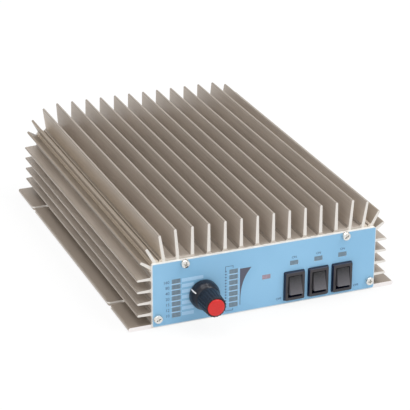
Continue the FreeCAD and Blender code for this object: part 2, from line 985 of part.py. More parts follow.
def rear_panel():
    body = blank_panel("rear_panel", False)
    barrel = size.socket_barrel + size.socket_hole_gap * 2
    circles = [(x, size.socket_height, barrel) for x in socket_places()]
    circles.append((size.jack_place, size.socket_height, size.jack_thread + size.socket_hole_gap))
    circles.append((size.gland_place, size.socket_height, size.gland_thread + size.gland_gap * 2))
    lip = size.fuse_block_lip - size.fuse_block_gap
    fuse_window = (middle(size.fuse_block_place, size.fuse_block_wide - lip * 2),
                   middle(size.socket_height, size.fuse_block_high - lip * 2))
    panel_cut(body, False, [fuse_window], circles, port_places())
    corners = panel_cut(body, False, screws=[
        (size.output_socket_place + across, size.socket_height + up)
        for across, up in socket_screw_corners()
    ])
    row_of(body, [corners], "X", 2, size.input_socket_place - size.output_socket_place)
    return body


def bottom_cover():
    """A flat plate in the rebates of the side walls, countersunk from below."""
    half = wall_inside + size.rebate_width - size.cover_gap
    plate = box((-half, half), (sink_front, sink_rear), (0, size.cover_thick))
    holes = []
    for x, y in cover_screw_places():
        holes.append(hole(size.screw_passage, 0, size.cover_thick, x, y))
        holes.append(taper(size.sunk_head + size.cover_gap, size.screw_passage,
                           0, size.sunk_head_high, x, y))
    return keep(cut(plate, holes), "bottom_cover")


def pan_screw(length, head=None, shank=None, head_high=None):
    """A screw with its head above the local XY plane and its shank below it."""
    head = head or size.pan_head
    shank = shank or size.screw_shank
    head_high = head_high or size.pan_head_high
    crown = head_high / 3
    return fuse([
        bar(head, 0, head_high - crown),
        taper(head, head * 0.7, head_high - crown, head_high),
        bar(shank, -term(length), 0, sides=SHANK_SIDES),
    ], "screw")


def panel_screws():
    screw = pan_screw(size.panel_screw_length)
    group("front_panel_screws", screw, [(x, panel_face, z) for x, z in port_places()], FACING_FRONT)
    group("rear_panel_screws", screw, [(x, rear_face, z) for x, z in port_places()], FACING_REAR)


def bottom_cover_screws():
    screw = fuse([
        taper(size.sunk_head, size.screw_shank, 0, size.sunk_head_high),
        bar(size.screw_shank, size.sunk_head_high, size.cover_thick + size.cover_screw_depth,
            sides=SHANK_SIDES),
    ], "sunk_screw")
    group("bottom_cover_screws", screw, [(x, y, 0) for x, y in cover_screw_places()])


# ---- indicator lamps ----

def lamp():
    """A rectangular lamp with a collar behind the panel and two leads to the board."""
    gap = size.lamp_gap
    wide = size.window_wide - gap * 2
    high = size.window_high - gap * 2
    tail = size.lamp_long
    leads = [
        box(middle(side * size.lead_spread / 2, size.lead_thick),
            (tail, size.panel_thick + size.front_board_depth),
            middle(0, size.lead_thick))
        for side in (-1, 1)
    ]
    collar = box(middle(0, wide + size.lamp_collar * 2),
                 (size.panel_thick, size.panel_thick + size.lamp_collar_long),
                 middle(0, high + size.lamp_collar * 2))
    return fuse([box(middle(0, wide), (gap, tail), middle(0, high)), collar] + leads, "lamp")


def lamps():
    model = lamp()
    heights = spread(size.window_count, size.window_low, size.window_pitch)
    group("band_lamps", model, [(size.band_place, panel_face, z) for z in heights])
    group("power_lamps", model, [(size.power_place, panel_face, z) for z in heights])
    status = spread(size.rocker_count, size.status_place, size.status_pitch)
    group("status_lamps", model, [(x, panel_face, size.status_height) for x in status])
    group("protection_lamp", model, [(size.protection_place, panel_face, size.protection_height)])


# ---- band selector ----

def place_on_selector(piece, label=None, angle=0):
    """Stands a turned piece on the selector axis, its local Z pointing out of the panel."""
    turn = FACING_FRONT * FreeCAD.Rotation(UP, term(angle).value)
    place(piece, size.knob_place, panel_face, size.knob_height, turn)
    return keep(piece, label) if label else piece


def knob_top():
    return size.knob_lift + size.knob_tall


def selector_knob():
    """Skirt with a rounded shoulder, then a tapered fluted grip; hollow for the nut and collet."""
    body = new_body("selector_knob")
    low = size.knob_lift
    recess_top = low + size.nut_recess_deep
    collet_hole = size.collet_width / 2 + size.collet_gap
    cap_hole = size.cap_width / 2 + size.cap_gap
    outline = sketch_on(body, "XZ")
    draw(outline, [
        (size.nut_recess_width / 2, low),
        (size.skirt_width / 2, low),
        (size.skirt_width / 2, low + size.skirt_edge, size.shoulder_curve),
        (size.shoulder_width / 2, low + size.shoulder_height),
        (size.grip_top_width / 2, knob_top()),
        (cap_hole, knob_top()),
        (cap_hole, knob_top() - size.cap_seat),
        (collet_hole, knob_top() - size.cap_seat),
        (collet_hole, recess_top),
        (size.nut_recess_width / 2, recess_top),
    ])
    revolve(body, outline)
    knob_flutes(body)
    pointer_slot = sketch_on(body, "XZ")
    draw(pointer_slot, pointer_outline(size.pointer_deep + size.pointer_gap, size.pointer_proud * 2))
    revolve(body, pointer_slot, "Groove", size.pointer_sweep + size.pointer_slack)
    place_on_selector(body, angle=size.pointer_angle)
    return body


def knob_flutes(body):
    """Shallow V-shaped grooves that follow the taper of the grip."""
    rise = size.knob_tall - size.shoulder_height
    taper = (size.shoulder_width - size.grip_top_width) / 2
    bite = size.flute_bite
    low = size.knob_lift + size.flute_start
    low_width = size.shoulder_width / 2 - (size.flute_start - size.shoulder_height) * taper / rise
    sections = []
    for height, radius in ((low, low_width), (knob_top() + bite, size.grip_top_width / 2)):
        sketch = sketch_on(body, "XY", height)
        draw(sketch, [
            (radius - bite, 0),
            (radius + bite, -size.flute_wide),
            (radius + bite, size.flute_wide),
        ])
        sections.append(sketch)
    flute = body.newObject("PartDesign::SubtractiveLoft", "flute")
    flute.Profile = sections[0]
    flute.Sections = sections[1:]
    flute.Ruled = True
    around = body.newObject("PartDesign::PolarPattern", "flutes")
    around.Originals = [flute]
    around.Axis = (origin_of(body, "Z_Axis"), [""])
    around.Angle = 360
    bind(around, "Occurrences", size.flute_count)
    body.Tip = around


def pointer_outline(deep, proud):
    """A strip that follows the edge and shoulder of the skirt, in the plane of the axis."""
    low = size.knob_lift + size.pointer_end
    edge = size.knob_lift + size.skirt_edge
    top = size.knob_lift + size.shoulder_height
    skirt = size.skirt_width / 2
    shoulder = size.shoulder_width / 2
    return [
        (skirt + proud, low),
        (skirt + proud, edge, size.shoulder_curve),
        (shoulder + proud, top),
        (shoulder - deep, top, -size.shoulder_curve),
        (skirt - deep, edge),
        (skirt - deep, low),
    ]


def knob_pointer():
    body = new_body("knob_pointer")
    outline = sketch_on(body, "XZ")
    draw(outline, pointer_outline(size.pointer_deep, size.pointer_proud))
    revolve(body, outline, sweep=size.pointer_sweep)
    place_on_selector(body, angle=size.pointer_angle)
    return body


def knob_cap():
    """A slightly domed disc pressed into the end of the grip."""
    body = new_body("knob_cap")
    seat = knob_top() - size.cap_seat
    edge = knob_top() + size.cap_proud
    half = size.cap_width / 2
    outline = sketch_on(body, "XZ")
    draw(outline, [
        (0, seat),
        (half, seat),
        (half, edge - size.cap_bevel),
        (half - size.cap_bevel, edge),
        (0, edge + size.cap_dome),
    ])
    revolve(body, outline)
    place_on_selector(body)
    return body


def selector_pieces():
    """What turns inside the knob and what holds it to the panel."""
    bore = size.shaft_width + size.shaft_gap * 2
    seat = size.knob_lift + size.nut_recess_deep
    collet_end = knob_top() - size.cap_seat
    collet = cut(cylinder(size.collet_width, seat, collet_end), [cylinder(bore, seat, collet_end)])
    place_on_selector(collet, "knob_collet")
    flange_back = -size.panel_thick - size.bushing_flange_thick
    switch_back = flange_back - size.switch_deep
    rotor_front = flange_back - size.switch_wall - size.rotor_gap
    rotor_back = rotor_front - size.rotor_thick
    shaft = cylinder(size.shaft_width, 0, size.shaft_front - rotor_back)
    place(shaft, size.knob_place, panel_face - rotor_back, size.knob_height, FACING_FRONT)
    keep(shaft, "selector_shaft")
    sleeve = fuse([
        cylinder(size.bushing_flange_width, flange_back, -size.panel_thick),
        cylinder(size.bushing_width, -size.panel_thick, size.bushing_long),
    ])
    bushing = cut(sleeve, [cylinder(bore, flange_back, size.bushing_long)])
    place_on_selector(bushing, "selector_bushing")
    nut_hole = cylinder(size.bushing_width + size.nut_gap * 2, 0, size.nut_thick)
    nut = cut(hexagon(size.nut_across, 0, size.nut_thick), [nut_hole])
    place_on_selector(nut, "selector_nut")
    chamber = (switch_back + size.switch_wall, flange_back - size.switch_wall)
    switch_body = cut(bar(size.switch_width, switch_back, flange_back), [
        bar(size.switch_width - size.switch_wall * 2, *chamber),
        cylinder(bore + size.rotor_gap, flange_back - size.switch_wall, flange_back),
    ])
    place_on_selector(switch_body, "selector_switch_body")
    rotor = cut(bar(size.rotor_width, rotor_back, rotor_front),
                [cylinder(bore, rotor_back, rotor_front)])
    place_on_selector(rotor, "selector_rotor")


# ---- rocker switches ----

def rocker_cutout_wide():
    return size.bezel_wide - size.bezel_overlap * 2


def rocker_cutout_high():
    return size.bezel_high - size.bezel_overlap * 2


def rocker_places():
    return spread(size.rocker_count, size.rocker_place, size.rocker_pitch)


def rocker_housing(label, x):
    """A box with a sloping bezel in front of the panel and a chamber for the paddle."""
    body = new_body(label)
    slope = size.bezel_slope * 2
    bezel = body.newObject("PartDesign::AdditiveLoft", "bezel")
    base = sketch_on(body, "XZ")
    draw(base, rounded(middle(0, size.bezel_wide), middle(0, size.bezel_high), size.bezel_round))
    front = sketch_on(body, "XZ", size.bezel_proud)
    draw(front, rounded(middle(0, size.bezel_wide - slope), middle(0, size.bezel_high - slope),
                        size.bezel_round))
    bezel.Profile = base
    bezel.Sections = [front]
    bezel.Ruled = True
    body.Tip = bezel
    gap = size.cutout_gap * 2
    shell = sketch_on(body, "XZ")
    draw(shell, rectangle(middle(0, rocker_cutout_wide() - gap), middle(0, rocker_cutout_high() - gap)))
    pad(body, shell, size.housing_deep, reverse=True)
    chamber = sketch_on(body, "XZ", size.bezel_proud)
    draw(chamber, rectangle(middle(0, size.opening_wide), middle(0, size.opening_high)))
    pocket(body, chamber, size.opening_deep)
    pivots = sketch_on(body, "YZ")
    draw_circle(pivots, size.pivot_depth - size.bezel_proud, 0, size.pivot_width + size.pivot_gap * 2)
    pocket(body, pivots, size.opening_wide + size.pivot_reach * 2 + size.pivot_end_gap * 2,
           symmetric=True)
    place(body, x, panel_face, size.rocker_height)
    return body


def rocker(label, x):
    """A dished paddle on two moulded pivots, at rest with its lower end out."""
    body = new_body(label)
    front = -size.paddle_front
    half = size.paddle_high / 2
    rear_half = size.paddle_rear_high / 2
    outline = sketch_on(body, "YZ")
    draw(outline, [
        (front, -half),
        (-size.paddle_side, -half),
        (size.paddle_rear, -rear_half),
        (size.paddle_rear, rear_half),
        (-size.paddle_side, half),
        (front, half, -size.paddle_dish),
    ])
    pad(body, outline, size.opening_wide - size.paddle_gap * 2, symmetric=True)
    doc.recompute()
    ends = [
        "Edge%d" % number
        for number, edge in enumerate(body.Shape.Edges, start=1)
        if edge.Curve.TypeId == "Part::GeomLine"
        and all(vertex.Y < front.value + NEAR for vertex in edge.Vertexes)
    ]
    paddle = body.Tip
    edges = body.newObject("PartDesign::Fillet", "paddle_edges")
    edges.Base = (paddle, ends)
    bind(edges, "Radius", size.paddle_round)
    body.Tip = edges
    pivots = sketch_on(body, "YZ")
    draw_circle(pivots, 0, 0, size.pivot_width)
    pad(body, pivots, size.opening_wide + size.pivot_reach * 2, symmetric=True)
    place(body, x, panel_face - size.bezel_proud + size.pivot_depth, size.rocker_height,
          FreeCAD.Rotation(LEFT, size.rest_tilt.value))
    bind(body, "Placement.Rotation.Angle", size.rest_tilt)
    return body


def rocker_switches():
    names = ("left", "middle", "right")
    for name, x in zip(names, rocker_places()):
        rocker_housing(name + "_switch_housing", x)
        rocker(name + "_rocker", x)
    spade = box(middle(0, size.spade_wide),
                (size.housing_deep, size.housing_deep + size.spade_long),
                middle(0, size.spade_thick))
    heights = [size.rocker_height + size.spade_spacing * step for step in (-1, 0, 1)]
    group("switch_terminals", spade, [(x, panel_face, z) for x in rocker_places() for z in heights])


# ---- front circuit board ----

def pillar_places():
    return [
        (size.pillar_left, size.pillar_low),
        (size.pillar_left, size.pillar_high),
        (size.pillar_middle, size.pillar_low),
        (size.pillar_middle, size.pillar_high),
        (size.pillar_right, size.pillar_high),
    ]


def front_circuit_board():
    """An L-shaped board: deep behind the lamps and the selector, shallow above the switches."""
    body = new_body("front_circuit_board")
    side = size.front_board_side
    outline = sketch_on(body, "XZ")
    draw(outline, [
        (-side, size.front_board_low),
        (size.front_board_inner, size.front_board_low),
        (size.front_board_inner, size.front_board_step),
        (side, size.front_board_step),
        (side, size.front_board_high),
        (-side, size.front_board_high),
    ])
    pad(body, outline, size.board_thick, reverse=True)
    holes = sketch_on(body, "XZ")
    for x, z in pillar_places():
        draw(holes, few_sided(x, z, size.small_passage))
    pocket(body, holes, size.board_thick)
    place(body, 0, front_board_face, 0)
    pillar = cut(hexagon(size.pillar_width, 0, size.front_board_depth), [
        hole(size.pillar_hole, size.front_board_depth - size.pillar_hole_deep,
             size.front_board_depth),
    ])
    group("front_board_pillars", pillar, [(x, sink_front, z) for x, z in pillar_places()],
          FACING_REAR)
    screw = pan_screw(size.board_thick + size.small_screw_bite, size.small_head,
                      size.small_shank, size.small_head_high)
    back = front_board_face + size.board_thick
    group("front_board_screws", screw, [(x, back, z) for x, z in pillar_places()], FACING_REAR)


# ---- main circuit board and what it carries ----

def main_board_rows():
    first = size.main_board_place - size.main_board_length / 2 + size.main_board_screw_inset
    span = size.main_board_length - size.main_board_screw_inset * 2
    return first, size.main_board_screw_rows, span / (size.main_board_screw_rows - 1)


def main_board_screw_places():
    return places_of(size.main_board_screw_place, main_board_rows())


def transistor_centres():
    return [(side * size.transistor_place, size.transistor_row) for side in (-1, 1)]


def transistor_screw_places():
    return [
        (x + ear * size.transistor_ears / 2, y)
        for x, y in transistor_centres()
        for ear in (-1, 1)
    ]


def main_circuit_board():
    """A board close under the roof, its components hanging towards the cover."""
    body = new_body("main_circuit_board")
    outline = sketch_on(body, "XY")
    draw(outline, rectangle(middle(0, size.main_board_width),
                            middle(size.main_board_place, size.main_board_length)))
    for x, y in transistor_centres():
        draw_circle(outline, x, y, size.transistor_width + size.transistor_gap * 2)
    pad(body, outline, size.board_thick)
    paired_holes(body, 0, size.main_board_screw_place, main_board_rows(),
                 size.screw_passage, size.board_thick)
    ear_holes = sketch_on(body, "XY")
    for x, y in transistor_screw_places():
        draw(ear_holes, few_sided(x, y, size.pan_head + size.transistor_gap * 2))
    pocket(body, ear_holes, size.board_thick, reverse=True)
    place(body, 0, 0, board_low)
    spacer = cut(hexagon(size.spacer_width, 0, size.main_board_drop),
                 [hole(size.screw_passage, 0, size.main_board_drop)])
    group("main_board_spacers", spacer, [(x, y, board_top) for x, y in main_board_screw_places()])
    screw = pan_screw(size.board_thick + size.main_board_drop + size.roof_screw_bite)
    group("main_board_screws", screw, [(x, y, board_low) for x, y in main_board_screw_places()],
          FACING_DOWN)


def power_transistors():
    """Flanged transistors clamped to the roof, their caps through the board."""
    ears = size.transistor_flange_wide
    flange = cut(
        box(middle(0, ears), middle(0, size.transistor_flange_long), (0, size.main_board_drop)),
        [hole(size.screw_passage, 0, size.main_board_drop, side * size.transistor_ears / 2)
         for side in (-1, 1)])
    lead_top = -size.board_thick
    model = fuse([
        flange,
        cylinder(size.transistor_width, -size.transistor_high, 0),
        box(middle(0, size.transistor_lead_wide), middle(0, size.transistor_lead_span),
            (lead_top - size.transistor_lead_thick, lead_top)),
    ], "transistor")
    group("power_transistors", model, [(x, y, board_top) for x, y in transistor_centres()])
    screw = pan_screw(size.main_board_drop + size.roof_screw_bite)
    group("transistor_screws", screw, [(x, y, board_top) for x, y in transistor_screw_places()],
          FACING_DOWN)


def transformers():
    """Two-hole ferrite blocks with tubes through them, lying against the board."""
    axis = board_low - size.output_core_high / 2
    core_y = middle(size.output_core_row, size.output_core_long)
    tube_y = middle(size.output_core_row, size.output_core_long + size.output_tube_extra * 2)
    strap_z = middle(axis, size.output_tube_width)
    strap_x = middle(0, size.output_tube_spread + size.output_tube_width)
    bore = size.output_tube_width + size.output_tube_gap * 2

    def bars(width, ends):
        return [
            place(bar(width, 0, ends[1] - ends[0]),
                  side * size.output_tube_spread / 2, ends[0], axis, FACING_REAR)
            for side in (-1, 1)
        ]

    core = box(middle(0, size.output_core_wide), core_y, (board_low - size.output_core_high, board_low))
    keep(cut(core, bars(bore, core_y)), "output_transformer_core")
    straps = [
        box(strap_x, (tube_y[0] - size.output_strap_thick, tube_y[0]), strap_z),
        box(strap_x, (tube_y[1], tube_y[1] + size.output_strap_thick), strap_z),
    ]
    keep(fuse(bars(size.output_tube_width, tube_y) + straps), "output_transformer_winding")
    input_z = (board_low - size.input_core_high, board_low)
    block = box(middle(0, size.input_core_wide), middle(size.input_core_row, size.input_core_long),
                input_z)
    keep(block, "input_transformer")


def filter_columns():
    first = -size.filter_pitch * (size.filter_count - 1) / 2
    return spread(size.filter_count, first, size.filter_pitch)


def filters():
    """One low-pass filter for each band: a relay at either end, two toroids and their capacitors."""
    gap = size.winding_gap
    thick = size.toroid_thick / 2
    outer = size.toroid_width
    inner = size.toroid_hole
    wound = outer + size.winding_thick * 2
    half = thick + size.winding_thick

    def ring(outside, inside, reach):
        return cut(bar(outside, -reach, reach, sides=SHANK_SIDES),
                   [bar(inside, -reach, reach, sides=SHANK_SIDES)])

    core = ring(outer, inner, thick)
    channel = ring(outer + gap * 2, inner - gap * 2, thick + gap)
    opening = box((-wound, 0), middle(0, size.winding_opening), (-half, half))
    winding = cut(ring(wound, inner - size.winding_thick * 2, half), [channel, opening])
    rows = (size.front_toroid_row, size.rear_toroid_row)
    places = [(x, y, board_low - wound / 2) for y in rows for x in filter_columns()]
    group("filter_toroids", core, places, ACROSS)
    group("toroid_windings", winding, places, ACROSS)
    relay = box(middle(0, size.relay_wide), middle(0, size.relay_long), (-size.relay_high, 0))
    relay_rows = (size.front_relay_row, size.rear_relay_row)
    group("filter_relays", relay, [(x, y, board_low) for y in relay_rows for x in filter_columns()])
    capacitor = box(middle(0, size.capacitor_wide), middle(0, size.capacitor_thick),
                    (-size.capacitor_high, 0))
    capacitor_rows = (size.front_capacitor_row, size.middle_capacitor_row, size.rear_capacitor_row)
    group("filter_capacitors", capacitor,
          [(x, y, board_low) for y in capacitor_rows for x in filter_columns()])


def supply_pieces():
    relay = box(middle(size.antenna_relay_place, size.antenna_relay_wide),
                middle(size.antenna_relay_row, size.antenna_relay_long),
                (board_low - size.antenna_relay_high, board_low))
    keep(relay, "antenna_relay")
    can = bar(size.electrolytic_width, -size.electrolytic_high, 0)
    rows = spread(size.electrolytic_count, size.electrolytic_row, size.electrolytic_pitch)
    group("electrolytic_capacitors", can, [(size.electrolytic_place, y, board_low) for y in rows])
    core = size.choke_core_long / 2
    winding = size.choke_winding_long / 2
    choke = fuse([
        bar(size.choke_core_width, -core, core),
        bar(size.choke_winding_width, -winding, winding),
    ])
    place(choke, size.choke_place, size.choke_row, board_low - size.choke_winding_width / 2,
          FACING_REAR)
    keep(choke, "supply_choke")


# ---- sockets on the rear panel ----

def socket_places():
    return [size.input_socket_place, size.output_socket_place]


def socket_screw_corners():
    half = size.socket_screw_spacing / 2
    return [(across * half, up * half) for across in (-1, 1) for up in (-1, 1)]


def place_on_rear(piece, x, label=None):
    """Stands a piece on the rear panel, its local Z pointing out of it."""
    place(piece, x, rear_face, size.socket_height, FACING_REAR)
    return keep(piece, label) if label else piece


def radio_socket(label, x):
    """The shell of a coaxial socket: a square flange and a barrel bored through."""
    shell = new_body(label)
    flange = sketch_on(shell, "XY")
    square = middle(0, size.socket_flange)
    draw(flange, rounded(square, square, size.socket_flange_round))
    pad(shell, flange, size.socket_flange_thick)
    corners = sketch_on(shell, "XY")
    for across, up in socket_screw_corners():
        draw(corners, few_sided(across, up, size.screw_passage))
    pocket(shell, corners, size.socket_flange_thick, reverse=True)
    barrel = sketch_on(shell, "XY", -size.socket_spigot_long)
    front = size.socket_flange_thick + size.socket_barrel_long
    draw_circle(barrel, 0, 0, size.socket_barrel)
    pad(shell, barrel, size.socket_spigot_long + front)
    bore = sketch_on(shell, "XY", front)
    draw_circle(bore, 0, 0, size.socket_bore)
    pocket(shell, bore, size.socket_spigot_long + front)
    place_on_rear(shell, x)


def socket_wire():
    """A stiff wire from the middle of a socket forwards, then up to the board."""
    body = new_body("socket_wire", kept=False)
    start = -size.contact_rear
    turn = start - size.wire_reach
    path = sketch_on(body, "YZ")
    draw(path, [
        (start, 0),
        (turn + size.wire_bend, 0, -size.wire_bend),
        (turn, size.wire_bend),
        (turn, board_low - size.socket_height),
    ], closed=False)
    section = sketch_on(body, "XZ", -start)
    draw(section, few_sided(0, 0, size.wire_width, sides=6))
    wire = body.newObject("PartDesign::AdditivePipe", "wire")
    wire.Profile = section
    wire.Spine = path
    body.Tip = wire
    return body


def radio_sockets():
    radio_socket("rf_input_socket", size.input_socket_place)
    radio_socket("rf_output_socket", size.output_socket_place)
    places = [(x, rear_face, size.socket_height) for x in socket_places()]
    gap = size.insulator_gap * 2
    ends = (-size.insulator_rear, size.insulator_front)
    insulator = cut(cylinder(size.socket_bore - gap, *ends),
                    [cylinder(size.contact_width + gap, *ends)])
    group("socket_insulators", insulator, places, FACING_REAR)
    bottom = size.contact_front - size.contact_bore_deep
    contact = cut(cylinder(size.contact_width, -size.contact_rear, size.contact_front),
                  [cylinder(size.contact_bore, bottom, size.contact_front)])
    group("socket_contacts", contact, places, FACING_REAR)
    group("socket_wires", socket_wire(), places)
    screw = pan_screw(size.socket_screw_length)
    front = rear_face + size.socket_flange_thick
    corners = [
        (x + across, front, size.socket_height + up)
        for x in socket_places()
        for across, up in socket_screw_corners()
    ]
    group("socket_screws", screw, corners, FACING_REAR)


def control_jack():
    """A small coaxial jack for the keying line."""
    x = size.jack_place
    gap = size.jack_gap * 2
    floor = size.jack_shell_long - size.jack_bore_deep
    stem = size.jack_stem + gap
    ledge = floor + size.jack_insulator_deep
    hole = size.jack_thread - size.jack_thread_wall * 2
    shell = cut(fuse([
        hexagon(size.jack_hex, 0, size.jack_hex_thick),
        cylinder(size.jack_shell, 0, size.jack_shell_long),
        cylinder(size.jack_thread, -size.jack_thread_long, 0),
    ]), [
        cylinder(size.jack_bore, floor, size.jack_shell_long),
        cylinder(hole, -size.jack_thread_long, floor),
    ])
    place_on_rear(shell, x, "control_jack_shell")
    insulator = cut(fuse([
        cylinder(size.jack_bore - gap, floor, ledge),
        cylinder(hole - gap, -size.jack_thread_long, floor),
    ]), [cylinder(stem, -size.jack_thread_long, ledge)])
    place_on_rear(insulator, x, "control_jack_insulator")
    contact_front = size.jack_shell_long - size.jack_contact_recess
    contact = cut(fuse([
        cylinder(size.jack_contact, ledge, contact_front),
        cylinder(size.jack_stem, -size.jack_thread_long - size.jack_stem_tail, ledge),
    ]), [cylinder(size.jack_contact_bore, ledge + size.jack_contact_recess, contact_front)])
    place_on_rear(contact, x, "control_jack_contact")
    nut_back = -size.panel_thick - size.jack_nut_thick
    nut = cut(hexagon(size.jack_hex, nut_back, -size.panel_thick),
              [cylinder(size.jack_thread + gap, nut_back, -size.panel_thick)])
    place_on_rear(nut, x, "control_jack_nut")


def fuse_block():
    """A moulded block through the panel with a pocket for each blade fuse."""
    body = new_body("fuse_block")
    outside = sketch_on(body, "XY")
    wide = middle(0, size.fuse_block_wide)
    high = middle(0, size.fuse_block_high)
    draw(outside, rounded(wide, high, size.fuse_block_round))
    pad(body, outside, size.fuse_block_proud)
    lip = size.fuse_block_lip
    inside = sketch_on(body, "XY")
    draw(inside, rectangle((wide[0] + lip, wide[1] - lip), (high[0] + lip, high[1] - lip)))
    pad(body, inside, size.panel_thick + size.fuse_block_behind, reverse=True)
    first = -size.fuse_pitch * (size.fuse_count - 1) / 2
    gap = size.fuse_gap * 2
    pockets = sketch_on(body, "XY", size.fuse_block_proud)
    draw(pockets, rectangle(middle(first, size.fuse_wide + gap), middle(0, size.fuse_high + gap)))
    fuse_pocket = pocket(body, pockets, size.fuse_grip)
    floor = size.fuse_block_proud - size.fuse_grip
    slots = sketch_on(body, "XY", floor)
    for side in (-1, 1):
        centre = side * size.blade_spread / 2
        draw(slots, rectangle(middle(first, size.blade_thick + gap), middle(centre, size.blade_wide + gap)))
    blade_slots = pocket(body, slots, size.blade_long + size.fuse_gap)
    row_of(body, [fuse_pocket, blade_slots], "X", size.fuse_count, size.fuse_pitch)
    place_on_rear(body, size.fuse_block_place)
    blades = [
        box(middle(0, size.blade_thick), middle(side * size.blade_spread / 2, size.blade_wide),
            (floor - size.blade_long, floor))
        for side in (-1, 1)
    ]
    top = size.fuse_block_proud + size.fuse_out
    model = fuse([box(middle(0, size.fuse_wide), middle(0, size.fuse_high), (floor, top))] + blades)
    places = [
        (size.fuse_block_place + x, rear_face, size.socket_height)
        for x in spread(size.fuse_count, first, size.fuse_pitch)
    ]
    group("blade_fuses", model, places, FACING_REAR)


def cable_gland():
    """A gland for the supply cable: hexagon, tapered nose, and a thread with its nut."""
    nose = size.gland_hex_thick + size.gland_head_long
    gland = cut(fuse([
        hexagon(size.gland_hex, 0, size.gland_hex_thick),
        cone(size.gland_head, size.gland_nose, size.gland_hex_thick, nose),
        cylinder(size.gland_thread, -size.gland_thread_long, 0),
    ]), [cylinder(size.gland_bore, -size.gland_thread_long, nose)])
    place_on_rear(gland, size.gland_place, "supply_gland")
    nut_back = -size.panel_thick - size.gland_nut_thick
    nut = cut(hexagon(size.gland_hex, nut_back, -size.panel_thick),
              [cylinder(size.gland_thread + size.gland_gap * 2, nut_back, -size.panel_thick)])
    place_on_rear(nut, size.gland_place, "supply_gland_nut")


# ---- building, checking and writing ----

def build():
    heat_sink()
    front_panel()
    rear_panel()
    bottom_cover()
    panel_screws()
    bottom_cover_screws()
    lamps()
    selector_knob()
    knob_pointer()
    knob_cap()
    selector_pieces()
    rocker_switches()
    front_circuit_board()
    main_circuit_board()
    power_transistors()
    transformers()
    filters()
    supply_pieces()
    radio_sockets()
    control_jack()
    fuse_block()
    cable_gland()
    doc.recompute()


def check():
    """Stops before anything is written if a feature failed or a sub-part is no sound solid."""
    failed = [item.Name for item in doc.Objects if {"Invalid", "Error"} & set(item.State)]
    if failed:
        raise RuntimeError("failed to build: " + ", ".join(failed))
    for piece in subparts:
        shape = piece.Shape
        if shape.isNull() or not shape.isValid() or not shape.Solids:
            raise RuntimeError("not a sound solid: " + piece.Label)
    idle = [
        item.Label for item in doc.Objects
        if item.TypeId in ("PartDesign::Pocket", "PartDesign::Groove", "PartDesign::SubtractiveLoft")
        and not item.BaseFeature.Shape.Volume > item.Shape.Volume
    ]
    if idle:
        raise RuntimeError("cut nothing: " + ", ".join(idle))


def write():
    os.makedirs("parts", exist_ok=True)
    for piece in subparts:
        piece.Shape.exportStep("parts/%s.step" % piece.Label)
        print("%-28s %2d solid(s) %10.1f mm3" % (piece.Label, len(piece.Shape.Solids),
                                                 piece.Shape.Volume))


build()
check()
write()
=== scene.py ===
"""HF linear amplifier: the finish of every surface, the printed scales and the fasteners, in a
plain studio. Everything is in metres, +Z up, the control panel facing -Y."""

import json
import math

import bmesh
import bpy
from mathutils import Matrix, Vector


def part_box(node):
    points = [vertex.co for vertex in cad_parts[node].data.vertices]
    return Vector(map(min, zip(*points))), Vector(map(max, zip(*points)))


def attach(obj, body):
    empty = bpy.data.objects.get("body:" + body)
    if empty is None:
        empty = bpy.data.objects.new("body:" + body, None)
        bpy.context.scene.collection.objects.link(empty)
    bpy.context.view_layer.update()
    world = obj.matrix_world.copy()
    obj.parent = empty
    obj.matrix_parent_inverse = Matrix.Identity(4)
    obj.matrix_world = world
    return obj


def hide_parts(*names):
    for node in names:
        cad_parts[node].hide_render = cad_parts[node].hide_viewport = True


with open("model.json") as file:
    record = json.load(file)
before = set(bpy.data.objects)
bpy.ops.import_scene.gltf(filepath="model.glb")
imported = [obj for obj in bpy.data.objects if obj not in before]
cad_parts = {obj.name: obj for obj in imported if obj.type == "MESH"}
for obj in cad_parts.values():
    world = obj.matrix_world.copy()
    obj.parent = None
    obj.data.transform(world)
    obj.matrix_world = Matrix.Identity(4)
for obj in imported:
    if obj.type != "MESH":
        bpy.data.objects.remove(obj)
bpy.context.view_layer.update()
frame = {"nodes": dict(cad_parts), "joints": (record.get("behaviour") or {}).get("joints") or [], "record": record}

MM = 0.001
FULL_TURN = 2 * math.pi
Y_AXIS = 1
Z_AXIS = 2
ROOT = "amplifier_body"
KNOB = "band_knob"

# A piece modelled along its own +Z is turned to point out of the front, the rear or the underside
FACING_FRONT = Matrix.Rotation(math.radians(90), 4, "X")
FACING_REAR = Matrix.Rotation(math.radians(-90), 4, "X")
FACING_DOWN = Matrix.Rotation(math.radians(180), 4, "X")

# The heat sink's outline in millimetres: heights above its underside, places across from its middle
ROOF_TOP = 42
FIN_PITCH = 10.25
UPRIGHT_FINS_END = 50
# Root across, root height, lean in degrees and reach of the fins that lean outwards on each side
LEANING_FINS = ((55.3, 43.2, 4.8, 16.5), (64.05, 43.2, 9, 15.5), (69.6, 42.1, 29, 10.5),
                (71.5, 38.6, 56, 8.2))
# Corners of the front panel's solid and of the plate that stands for it, in millimetres
PACKED_ROUND = 2.5
PLATE_ROUND = 1.2
# Thickness of the flange that a coaxial socket is screwed down by, in millimetres
SOCKET_FLANGE = 1.6
# Radii of all screws, in millimetres
HEAD_RADIUS = 2.75
SHANK_RADIUS = 1.45
# How far ink stands out of the panel, in metres
INK = 0.03 * MM


# ---- where things are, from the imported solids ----

def ends(node):
    """Lowest and highest corner of a node."""
    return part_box(node)


def centre(node):
    low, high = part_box(node)
    return (low + high) / 2


